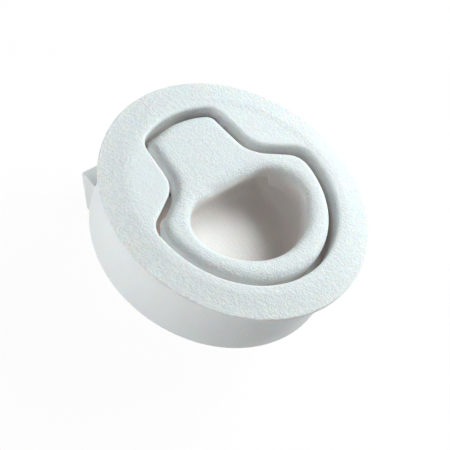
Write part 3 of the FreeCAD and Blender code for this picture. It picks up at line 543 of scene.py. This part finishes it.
def grid_mesh(name, points, capped=False):
    """Closed surface from points[row, column]. The columns join up all round. The rows join up
    too, or with capped, a flat face closes the first and the last row."""
    rows, columns = points.shape[:2]
    strips = rows - 1 if capped else rows
    row, column = np.meshgrid(np.arange(strips), np.arange(columns), indexing="ij")
    after, beside = (row + 1) % rows, (column + 1) % columns
    quads = np.stack([row * columns + column, row * columns + beside,
                      after * columns + beside, after * columns + column], axis=-1)
    faces = quads.reshape(-1, 4).tolist()
    if capped:
        ends = np.arange(rows * columns).reshape(rows, columns)
        faces += [ends[0, ::-1].tolist(), ends[-1].tolist()]
    mesh = bpy.data.meshes.new(name)
    mesh.from_pydata(points.reshape(-1, 3), [], faces)
    mesh.update()
    return mesh


def shown(name, content):
    """Object that puts a mesh, a lamp or a camera into the scene."""
    obj = bpy.data.objects.new(name, content)
    bpy.context.scene.collection.objects.link(obj)
    return obj


def solid(name, *meshes):
    """Object at the origin that holds one or more closed meshes."""
    builder = bmesh.new()
    for mesh in meshes:
        builder.from_mesh(mesh)
    joined = bpy.data.meshes.new(name)
    builder.to_mesh(joined)
    builder.free()
    return shown(name, joined)


def carve(obj, steps):
    """Boolean steps, each an operation and a tool object, made real in order."""
    for operation, tool in steps:
        change = obj.modifiers.new(operation.lower(), "BOOLEAN")
        change.operation = operation
        change.solver = "EXACT"
        change.object = tool
    shaped = bpy.data.meshes.new_from_object(
        obj.evaluated_get(bpy.context.evaluated_depsgraph_get()))
    obj.modifiers.clear()
    obj.data = shaped
    for _, tool in steps:
        bpy.data.objects.remove(tool)


def smooth(obj, angle):
    """Smooth shading that keeps the edges sharper than an angle."""
    mesh = obj.data
    mesh.polygons.foreach_set("use_smooth", np.ones(len(mesh.polygons), bool))
    mesh.set_sharp_from_angle(angle=angle)
    return obj


def take_over(node, mesh, material, angle):
    """Make a computed mesh the shown form of a node that stays on the base."""
    piece = smooth(solid(f"{node}_shown", mesh), angle)
    piece.data.materials.append(material)
    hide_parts(node)
    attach(piece, "base")
    dress(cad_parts[node], material)
    return piece


def dot(a, b):
    """Scalar product of two directions written as complex numbers."""
    return (a * np.conj(b)).real


def run_through(arcs, count=48):
    """Closed outline as complex points: each arc (centre, radius, from, to) is sampled, and a
    straight run joins the end of each to the start of the next."""
    pieces = []
    for centre, radius, first, last in arcs:
        swing = np.angle(np.exp(1j * (last - first)))
        pieces.append(centre + radius * np.exp(1j * (first + swing * np.linspace(0, 1, count))))
    for n in range(len(arcs)):
        start, end = pieces[2 * n][-1], pieces[(2 * n + 1) % len(pieces)][0]
        run = start + (end - start) * np.linspace(0, 1, count)[1:-1]
        pieces.insert(2 * n + 1, run)
    return np.concatenate(pieces)


def mirrored(arcs):
    """The same arcs on the other side of the middle plane, in the order that goes on round."""
    return [(np.conj(c), r, -last, -first) for c, r, first, last in reversed(arcs)]


def reach(outline, angles):
    """Distance from the origin to a star-shaped outline in each direction."""
    turn = np.angle(outline)
    order = np.argsort(turn)
    return np.interp(angles, turn[order], np.abs(outline)[order], period=2 * np.pi)


def keyhole(h, inset):
    """Keyhole outline moved inward: arcs about the axis at the lobe and the tang's end, a
    flank and a rise on each side, and tangent arcs at the tang's end, neck and shoulder whose
    centres stay while their radii change by the inset."""
    big = h.recess_radius
    end_round, neck_round, side_round = h.outline_rounds
    corner = big * np.exp(1j * (np.pi - h.tang_half_angle))
    neck = complex(-h.neck[0], h.neck[1])
    shoulder = big * np.exp(1j * h.shoulder_angle)
    flank = (neck - corner) / abs(neck - corner)
    rise = (shoulder - neck) / abs(shoulder - neck)
    flank_in, rise_in = -1j * flank, -1j * rise

    def touching(start, along, inward, rounding, way):
        foot = start + inward * rounding
        middle = foot - along * dot(foot, along)
        return middle + along * way * math.sqrt((big - rounding) ** 2 - abs(middle) ** 2)

    end_centre = touching(corner, flank, flank_in, end_round, -1)
    side_centre = touching(neck, rise, rise_in, side_round, 1)
    neck_centre = neck - (flank_in + rise_in) * neck_round / (1 + dot(flank_in, rise_in))
    half = [
        (0, big - inset, 0.0, np.angle(side_centre)),
        (side_centre, side_round - inset, np.angle(side_centre), np.angle(-rise_in)),
        (neck_centre, neck_round + inset, np.angle(rise_in), np.angle(flank_in)),
        (end_centre, end_round - inset, np.angle(-flank_in), np.angle(end_centre)),
        (0, big - inset, np.angle(end_centre), np.pi),
    ]
    return run_through(half + mirrored(half))


def finger_hole(h, grow):
    """D-shaped outline moved outward: a round side about the axis, a bowed tang side and a
    tangent arc at each corner."""
    turn = math.acos(-h.hole_side / h.hole_radius)
    tilt = math.asin(h.hole_radius * math.sin(turn) / h.hole_bow)
    bow = -h.hole_side + h.hole_bow * math.cos(tilt)
    near, far = h.hole_radius - h.hole_corner, h.hole_bow - h.hole_corner
    along = (near ** 2 - far ** 2 + bow ** 2) / (2 * bow)
    corner = complex(along, math.sqrt(near ** 2 - along ** 2))
    lean = np.angle(corner - bow)
    half = [
        (0, h.hole_radius + grow, 0.0, np.angle(corner)),
        (corner, h.hole_corner + grow, np.angle(corner), lean),
        (bow, h.hole_bow + grow, lean, np.pi),
    ]
    return run_through(half + mirrored(half))


def reach_at(outline, h, depths, angles, steps=28):
    """Reach of an outline that is moved by a depth of its own in each direction."""
    levels = np.linspace(0, max(depths.max(), MM), steps)
    table = np.array([reach(outline(h, level), angles) for level in levels])
    place = depths / levels[-1] * (steps - 1)
    low = np.minimum(place.astype(int), steps - 2)
    column = np.arange(len(angles))
    part = place - low
    return table[low, column] * (1 - part) + table[low + 1, column] * part


def settle(values, width):
    """Running mean round a closed ring of values."""
    window = np.ones(2 * width + 1) / (2 * width + 1)
    padded = np.concatenate([values[-width:], values, values[:width]])
    return np.convolve(padded, window, "valid")


def ease(values, low, high):
    """0 below low, 1 above high and a smooth rise between them."""
    t = np.clip((values - low) / (high - low), 0, 1)
    return t * t * (3 - 2 * t)


def ring_and_tang(h, columns=540):
    """Handle's ring and tang. Each column looks out from the axis at one angle. Down it the
    surface runs up the outer wall, over a quarter circle, level to the finger hole, over the
    hole's own quarter circle, down the inner wall and back along the underside. Where the
    ring is narrow both quarter circles shrink by one share, which leaves a level crest."""
    # The angles between which the ring's inner edge becomes the tang's, the rounding of the
    # lower edges, the length in which the tang thickens, and the columns averaged each way
    tang_side = math.radians(97), math.radians(118)
    foot, thickening, spread = 0.5 * MM, 0.9 * MM, 9
    angles = np.linspace(-np.pi, np.pi, columns, endpoint=False)
    spin = np.exp(1j * angles)

    def edge(h, depth):
        return keyhole(h, h.gap + depth)

    outer, inner = edge(h, 0), finger_hole(h, 0)
    outer_reach, inner_reach = reach(outer, angles), reach(inner, angles)
    tangward = ease(np.abs(angles), *tang_side)
    outer_round = np.full(columns, h.edge_round)
    inner_round = h.ring_round + (h.tang_round - h.ring_round) * tangward
    for _ in range(3):
        crest = (reach_at(edge, h, outer_round, angles)
                 - reach_at(finger_hole, h, inner_round, angles))
        room = outer_reach - inner_reach
        share = np.minimum(1, (room - h.crest) / (room - crest))
        nearby = [np.roll(share, n) for n in range(-spread, spread + 1)]
        share = settle(np.min(nearby, axis=0), spread)
        outer_round, inner_round = outer_round * share, inner_round * share

    def underside(reach_here):
        x = reach_here * np.cos(angles)
        rise = 1 - ease(x, h.ring_start, h.ring_start + thickening)
        return h.ring_bottom + (h.tang_bottom - h.ring_bottom) * rise

    rows = []

    def add(reach_here, height):
        rows.append(np.stack([reach_here * spin.real, reach_here * spin.imag,
                              np.broadcast_to(height, angles.shape)], axis=-1))

    low_outer, low_inner = underside(outer_reach), underside(inner_reach)
    quarter = np.linspace(0, np.pi / 2, 5)[1:]
    for swing in quarter[:-1]:
        depth = np.full(columns, foot * (1 - np.sin(swing)))
        add(reach_at(edge, h, depth, angles), low_outer + foot * (1 - np.cos(swing)))
    for part in np.linspace(0, 1, 4):
        add(outer_reach, low_outer + foot + (h.top - outer_round - low_outer - foot) * part)
    for swing in np.linspace(0, np.pi / 2, 14)[1:]:
        depth = outer_round * (1 - np.cos(swing))
        add(reach_at(edge, h, depth, angles), h.top - outer_round * (1 - np.sin(swing)))
    crest_outer = reach_at(edge, h, outer_round, angles)
    crest_inner = reach_at(finger_hole, h, inner_round, angles)
    for part in np.linspace(0, 1, 8)[1:-1]:
        add(crest_outer + (crest_inner - crest_outer) * part, h.top)
    for swing in np.linspace(np.pi / 2, 0, 13):
        depth = inner_round * (1 - np.cos(swing))
        add(reach_at(finger_hole, h, depth, angles), h.top - inner_round * (1 - np.sin(swing)))
    low_limit = np.minimum(low_inner + foot, h.top - inner_round)
    for part in np.linspace(0, 1, 4)[1:]:
        add(inner_reach, h.top - inner_round + (low_limit - h.top + inner_round) * part)
    for swing in quarter:
        depth = np.full(columns, foot * (1 - np.cos(swing)))
        add(reach_at(finger_hole, h, depth, angles),
            low_limit + (low_inner - low_limit) * np.sin(swing))
    start = reach_at(finger_hole, h, np.full(columns, foot), angles)
    end = reach_at(edge, h, np.full(columns, foot), angles)
    for part in np.linspace(0, 1, 12)[1:]:
        here = start + (end - start) * part
        add(here, underside(here))
    return grid_mesh("ring_and_tang", np.array(rows)[::-1])


def pierced_plate(h, outline, low, high, soft=0.3 * MM, columns=96):
    """Flat part round the pin, in the XZ plane. Each column looks out from the pin at one
    angle; down it the surface crosses the bore, one face, the rim with rounded edges and the
    other face. The outline is given about the pin as complex points."""
    angles = np.linspace(-np.pi, np.pi, columns, endpoint=False)
    rim = reach(outline, angles)
    bore = np.full(columns, h.bore_radius)
    quarter = np.linspace(0, np.pi / 2, 5)
    profile = [(bore, high), (bore, low)]
    for part in (0.5, 1.0):
        profile.append((bore + (rim - soft - bore) * part, low))
    profile += [(rim - soft * (1 - np.sin(q)), low + soft * (1 - np.cos(q))) for q in quarter[1:]]
    profile += [(rim - soft * (1 - np.cos(q)), high - soft * (1 - np.sin(q))) for q in quarter]
    profile.append((bore + (rim - soft - bore) * 0.5, high))
    rows = [np.stack([h.pivot[0] + r * np.cos(angles), np.full(columns, y),
                      h.pivot[1] + r * np.sin(angles)], axis=-1) for r, y in profile]
    return grid_mesh("pierced_plate", np.array(rows))


def rod(name, centre, radius, low, high, columns=64):
    """Tool for a bore along Y: a circle about the centre, moved from low to high."""
    turn = np.linspace(0, 2 * np.pi, columns, endpoint=False)
    rows = [np.stack([centre[0] + radius * np.sin(turn), np.full(columns, y),
                      centre[1] + radius * np.cos(turn)], axis=-1) for y in (low, high)]
    return grid_mesh(name, np.array(rows), capped=True)


def arm_outline(h):
    """Lever arm about the pin, as complex points: the knuckle's arc over the pin, two straight
    flanks and the tip's arc below, which both flanks touch."""
    tip = -1j * h.arm_length
    lean = math.asin((h.knuckle_radius - h.arm_tip) / h.arm_length)
    return run_through([(0, h.knuckle_radius, -lean, UP),
                        (0, h.knuckle_radius, UP, BACKWARD + lean),
                        (tip, h.arm_tip, BACKWARD + lean, DOWN),
                        (tip, h.arm_tip, DOWN, -lean)])


def knuckle_outline(h):
    """Outer knuckle about the pin, as complex points: an arc over the bore that leaves a thin
    wall inside the tang, and one of the knuckle's full radius under it."""
    thin = h.bore_radius + h.knuckle_wall
    thin_end, full_start = BACKWARD * 1.05, -BACKWARD * 0.7
    full_middle, full_end = -BACKWARD * 0.35, -0.3
    return run_through([(0, thin, 0, UP), (0, thin, UP, thin_end),
                        (0, h.knuckle_radius, full_start, full_middle),
                        (0, h.knuckle_radius, full_middle, full_end)])


def left_and_right(near, far):
    """A stretch along the pin on each side of the middle plane, as its low and high end."""
    return (-far, -near), (near, far)


def screw_mesh(name, m, low, high):
    """Pan head screw that points up. Down each column the surface crosses the head's domed
    face, its rounded rim and its seat, then climbs the shank to the tip. The cross is a
    depth that falls where either distance from the head's middle lines is small. The thread
    is a ridge where height over pitch, less the turn, is near a half."""
    # Shares of the head's radius or height, then the ridge's half width as a share of the
    # pitch, and the point's length and how much of the radius it takes off
    face_share, dome_share, rim_share, seat_share = 0.78, 0.15, 0.45, 0.97
    ridge_width, point_length, point_share = 0.32, 1.6 * m.shank_radius, 0.8
    turn = np.linspace(0, 2 * np.pi, 48, endpoint=False)
    seat = low.z + m.head_height
    face = np.linspace(0.05, face_share, 22)[:, None] * m.head_radius
    flank = np.minimum(np.abs(face * np.cos(turn)), np.abs(face * np.sin(turn)))
    cross = (1 - ease(flank, m.cross_half_width, 1.5 * m.cross_half_width)) * (
        1 - ease(face, 0.85 * m.cross_reach, m.cross_reach))
    dome = low.z + dome_share * m.head_height * (face / m.head_radius) ** 2
    swing = np.linspace(0, np.pi / 2, 8)[:, None]
    rim = m.head_radius * (face_share + (1 - face_share) * np.sin(swing))
    rim_height = dome[-1] + (rim_share * m.head_height) * (1 - np.cos(swing))
    length = high.z - seat
    climb = np.linspace(0, 1, 96)[:, None] * length
    phase = (climb / m.thread_pitch - turn / (2 * np.pi)) % 1
    ridge = (np.maximum(0, 1 - np.abs(phase - 0.5) / ridge_width)
             * ease(climb, 0, m.thread_pitch))
    shank = m.core_radius + (m.shank_radius - m.core_radius) * ridge
    shank = shank * (1 - point_share * ease(climb, length - point_length, length))
    radii = [face, rim, np.array([[seat_share * m.head_radius], [m.core_radius]]), shank]
    heights = [dome + m.cross_depth * cross, rim_height, np.full((2, 1), seat), seat + climb]
    radii = np.concatenate([np.broadcast_to(r, (len(r), len(turn))) for r in radii])
    heights = np.concatenate([np.broadcast_to(z, (len(z), len(turn))) for z in heights])
    middle = (low + high) / 2
    points = np.stack([middle.x + radii * np.cos(turn), middle.y + radii * np.sin(turn), heights],
                      axis=-1)
    return grid_mesh(name, points, capped=True)


def wire_mesh(name, path, radius, towards, columns=14):
    """Round wire along a path: circles across its direction, their zero point turned by the
    cross product of that direction with a direction that it never takes."""
    along = np.gradient(path, axis=0)
    along /= np.linalg.norm(along, axis=1)[:, None]
    side = np.cross(along, towards)
    side /= np.linalg.norm(side, axis=1)[:, None]
    other = np.cross(along, side)
    turn = np.linspace(0, 2 * np.pi, columns, endpoint=False)[:, None]
    circle = np.cos(turn) * side[:, None] + np.sin(turn) * other[:, None]
    return grid_mesh(name, path[:, None] + radius * circle, capped=True)


def bolt_spring_mesh(name, m, low, high, turns=9, samples=30):
    """Compression spring along X: a circle whose advance is one wire in the first and last
    turn and even between them, with both end faces ground flat."""
    closed, opened = 0.8, 1.4
    turned = np.linspace(0, turns, turns * samples + 1)
    open_part = ease(turned, closed, opened) - ease(turned, turns - opened, turns - closed)
    length = high.x - low.x - 2 * m.bolt_wire
    spare = length - 2 * m.bolt_wire * turns
    advance = 2 * m.bolt_wire * turned + spare * np.cumsum(open_part) / open_part.sum()
    middle = (low + high) / 2
    swing = 2 * np.pi * turned
    path = np.stack([low.x + m.bolt_wire + advance,
                     middle.y + m.bolt_coil * np.cos(swing),
                     middle.z + m.bolt_coil * np.sin(swing)], axis=-1)
    mesh = wire_mesh(name, path, m.bolt_wire, (1.0, 0.0, 0.0))
    places = np.empty(len(mesh.vertices) * 3)
    mesh.vertices.foreach_get("co", places)
    ground = 0.5 * m.bolt_wire
    places[0::3] = np.clip(places[0::3], low.x + ground, high.x - ground)
    mesh.vertices.foreach_set("co", places)
    mesh.update()
    return mesh


def handle_spring_mesh(name, m, h, way, turns=3.5, spacing=0.18 * MM, reach_of_mean=3):
    """Torsion spring about the pin: a leg from the lever arm, the coil and a leg to the
    block. The corners are rounded by a running mean along the path. From leg to coil the
    wire's zero direction turns from X to Y."""
    coil, (start, end), (arm_end, block_end) = m.handle_coil, m.handle_coils, m.leg_ends
    swing = np.linspace(0, turns, 211)
    winding = np.stack([coil * np.cos(2 * np.pi * swing), start + (end - start) * swing / turns,
                        coil * np.sin(2 * np.pi * swing)], axis=-1)
    inward = [(coil - m.leg_lean, arm_end, -m.leg_drop),
              (coil - m.leg_lean, start, -m.leg_drop), winding[0]]
    outward = [winding[-1], (-coil - m.leg_lean, end, -m.leg_drop),
               (-coil - m.leg_lean, block_end, -m.leg_drop)]

    def stretch(first, last):
        count = max(2, round(np.linalg.norm(np.subtract(last, first)) / spacing))
        return np.linspace(first, last, count, endpoint=False)

    path = np.concatenate([stretch(inward[0], inward[1]), stretch(inward[1], inward[2]), winding,
                           stretch(outward[0], outward[1])[1:], stretch(outward[1], outward[2]),
                           [outward[2]]])
    window = np.ones(2 * reach_of_mean + 1) / (2 * reach_of_mean + 1)
    held = np.pad(path, ((reach_of_mean, reach_of_mean), (0, 0)), "edge")
    path = np.stack([np.convolve(column, window, "valid") for column in held.T], axis=-1)
    in_leg = 1 - ease(path[:, 2], -0.8 * m.leg_drop, -0.35 * m.leg_drop)
    towards = np.stack([in_leg, 1 - in_leg, 0 * in_leg], axis=-1)
    path = path * (1, way, 1) + (h.pivot[0], 0, h.pivot[1])
    return wire_mesh(name, path, m.handle_wire, towards)


# The operators, one for each piece or group of like pieces

class LATCH_OT_mouldings(bpy.types.Operator):
    """Dress the housing, the round plate and the bolt case in grained plastic"""
    bl_idname = "latch.mouldings"
    bl_label = "Mouldings"

    def execute(self, context):
        material = grained_moulding("grained_white", context.scene.latch_finish, FLANGE_GRAIN,
                                    inside_grain=0.45)
        for name in ("housing", "back_plate", "bolt_case"):
            dress(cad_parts[name], material)
        return {"FINISHED"}


class LATCH_OT_handle(bpy.types.Operator):
    """Build the pull handle: ring, tang, knuckles and lever arm"""
    bl_idname = "latch.handle"
    bl_label = "Pull handle"

    def execute(self, context):
        h = context.scene.latch_handle
        handle = solid("handle", ring_and_tang(h))
        pockets = solid("pockets", *(rod("pocket", h.pivot, h.coil_pocket, *ends)
                                     for ends in left_and_right(h.arm_half_width, h.lugs[0])))
        arm = solid("arm", pierced_plate(h, arm_outline(h), -h.arm_half_width, h.arm_half_width,
                                         columns=160))
        knuckles = solid("knuckles", *(pierced_plate(h, knuckle_outline(h), *ends)
                                       for ends in left_and_right(*h.lugs)))
        bore = solid("bore", rod("bore", h.pivot, h.bore_radius, -h.recess_radius,
                                 h.recess_radius))
        carve(handle, [("DIFFERENCE", pockets), ("UNION", arm), ("UNION", knuckles),
                       ("DIFFERENCE", bore)])
        smooth(handle, math.radians(35))
        handle.data.materials.clear()
        handle.data.materials.append(grained_moulding(
            "handle_white", context.scene.latch_finish, HANDLE_GRAIN, inside_grain=1.0))
        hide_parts("pull_handle")
        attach(handle, "handle")
        return {"FINISHED"}


class LATCH_OT_bolt(bpy.types.Operator):
    """Dress the latch bolt"""
    bl_idname = "latch.bolt"
    bl_label = "Latch bolt"

    def execute(self, context):
        dress(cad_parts["latch_bolt"], sliding_plastic(context.scene.latch_finish))
        return {"FINISHED"}


class LATCH_OT_screws(bpy.types.Operator):
    """Build the eight zinc screws"""
    bl_idname = "latch.screws"
    bl_label = "Screws"

    def execute(self, context):
        zinc = zinc_plate(context.scene.latch_finish)
        for node in (f"{group}_screw_{n}" for group in ("plate", "case") for n in range(1, 5)):
            mesh = screw_mesh(node, context.scene.latch_metal, *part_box(node))
            take_over(node, mesh, zinc, math.radians(40))
        return {"FINISHED"}


class LATCH_OT_springs(bpy.types.Operator):
    """Build the two bolt springs and the two handle springs"""
    bl_idname = "latch.springs"
    bl_label = "Springs"

    def execute(self, context):
        metal, sharp = context.scene.latch_metal, math.radians(50)
        wire = drawn_wire(context.scene.latch_finish)
        for side, way in (("left", -1), ("right", 1)):
            node = f"bolt_spring_{side}"
            low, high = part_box(node)
            mesh = bolt_spring_mesh(node, metal, low, high)
            spring = take_over(node, mesh, wire, sharp)
            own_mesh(spring)
            node = f"handle_spring_{side}"
            mesh = handle_spring_mesh(node, metal, context.scene.latch_handle, way)
            take_over(node, mesh, wire, sharp)
        return {"FINISHED"}


class LATCH_OT_pin(bpy.types.Operator):
    """Dress the handle's pin"""
    bl_idname = "latch.pin"
    bl_label = "Pin"

    def execute(self, context):
        dress(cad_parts["handle_pin"], ground_steel(context.scene.latch_finish))
        return {"FINISHED"}


# The stage: camera, lamps, floor and world

def camera_frame(stage):
    """Right, up and backward directions of the camera and its place."""
    a, e, t = stage.azimuth, stage.elevation, stage.roll
    back = Vector((math.sin(a) * math.cos(e), -math.cos(a) * math.cos(e), math.sin(e)))
    level = Vector((math.cos(a), math.sin(a), 0))
    upright = back.cross(level)
    right = math.cos(t) * level - math.sin(t) * upright
    up = math.sin(t) * level + math.cos(t) * upright
    place = stage.distance * back - stage.offset_right * right - stage.offset_up * up
    return right, up, back, place


def add_lamp(name, direction, width, power, colour):
    """Square area lamp that faces the latch from a direction."""
    lamp = bpy.data.lights.new(name, "AREA")
    lamp.size = width
    lamp.energy = power
    lamp.color = colour
    back = Vector(direction).normalized()
    turn = back.to_track_quat("Z", "Y").to_matrix().to_4x4()
    shown(name, lamp).matrix_world = Matrix.Translation(back * LAMP_DISTANCE) @ turn


def white_where_shown(shader, lit, share):
    """Mix a lit surface with plain white for rays that show the background."""
    white = shader.node("ShaderNodeEmission", {}, {"Color": WHITE, "Strength": 1.0})
    mixed = shader.node("ShaderNodeMixShader", {},
                        {0: shader.background_rays() * share, 1: lit, 2: white.outputs[0]})
    shader.feed(shader.output, {"Surface": mixed.outputs[0]})


class LATCH_OT_stage(bpy.types.Operator):
    """Add the floor, the world, the lamps and the camera"""
    bl_idname = "latch.stage"
    bl_label = "Stage"

    def execute(self, context):
        scene, stage = context.scene, context.scene.latch_stage
        scene.view_settings.view_transform = "Standard"
        right, up, back, place = camera_frame(stage)

        mesh = bpy.data.meshes.new("floor")
        corners = np.array([(-1, -1), (1, -1), (1, 1), (-1, 1)]) * FLOOR_HALF_WIDTH
        mesh.from_pydata(np.c_[corners, np.full(4, FLOOR_HEIGHT)], [], [(0, 1, 2, 3)])
        floor = shown("floor", mesh)
        paper = Shader("pale_paper", specular=0.1, roughness=0.9)
        paper.set(base_color=paper.blend(paper.noise(900.0), shaded(stage.floor_colour, 0.97),
                                         shaded(stage.floor_colour, 1.03)))
        white_where_shown(paper, paper.surface.outputs[0], FLOOR_WHITE_SHARE)
        mesh.materials.append(paper.material)

        scene.world = bpy.data.worlds.new("studio")
        sky = Nodes(scene.world)
        even, plain = (sky.node("ShaderNodeBackground", {}, {"Color": colour, "Strength": level})
                       for colour, level in (((*stage.world_colour, 1), stage.world_level),
                                             (WHITE, 1.0)))
        mixed = sky.node("ShaderNodeMixShader", {},
                         {0: sky.background_rays(), 1: even.outputs[0], 2: plain.outputs[0]})
        sky.node("ShaderNodeOutputWorld", {}, {0: mixed.outputs[0]})

        add_lamp("key", stage.key_direction, stage.key_width, stage.key_power,
                 stage.key_colour)
        add_lamp("fill", stage.fill_direction, stage.fill_width, stage.fill_power,
                 stage.fill_colour)
        add_lamp("front", back, stage.key_width, stage.front_power, stage.front_colour)

        lens = bpy.data.cameras.new("photo_view")
        lens.lens = stage.lens
        lens.sensor_width = SENSOR_MILLIMETRES
        lens.clip_start, lens.clip_end = VIEW_RANGE
        camera = shown("photo_view", lens)
        camera.matrix_world = (Matrix.Translation(place)
                               @ Matrix((right, up, back)).transposed().to_4x4())
        scene.camera = camera
        return {"FINISHED"}


class LATCH_PT_panel(bpy.types.Panel):
    """Buttons that build the latch's looks piece by piece"""
    bl_idname = "LATCH_PT_panel"
    bl_label = "Push-to-close latch"
    bl_space_type = "VIEW_3D"
    bl_region_type = "UI"
    bl_category = "Latch"

    def draw(self, context):
        column = self.layout.column()
        for group in (getattr(context.scene, name) for name in GROUPS):
            for name in group.__annotations__:
                column.prop(group, name)
        for operator in OPERATORS:
            column.operator(operator.bl_idname)


GROUPS = {"latch_finish": LatchFinish, "latch_handle": LatchHandle, "latch_metal": LatchMetal,
          "latch_stage": LatchStage}
OPERATORS = (LATCH_OT_mouldings, LATCH_OT_handle, LATCH_OT_bolt, LATCH_OT_screws,
             LATCH_OT_springs, LATCH_OT_pin, LATCH_OT_stage)
CLASSES = (*GROUPS.values(), *OPERATORS, LATCH_PT_panel)


def register():
    for cls in CLASSES:
        bpy.utils.register_class(cls)
    for name, group in GROUPS.items():
        setattr(bpy.types.Scene, name, PointerProperty(type=group))


def unregister():
    for name in GROUPS:
        delattr(bpy.types.Scene, name)
    for cls in reversed(CLASSES):
        bpy.utils.unregister_class(cls)


def main():
    register()
    bpy.ops.latch.mouldings()
    bpy.ops.latch.handle()
    bpy.ops.latch.bolt()
    bpy.ops.latch.screws()
    bpy.ops.latch.springs()
    bpy.ops.latch.pin()
    bpy.ops.latch.stage()


if __name__ == "__main__":
    main()
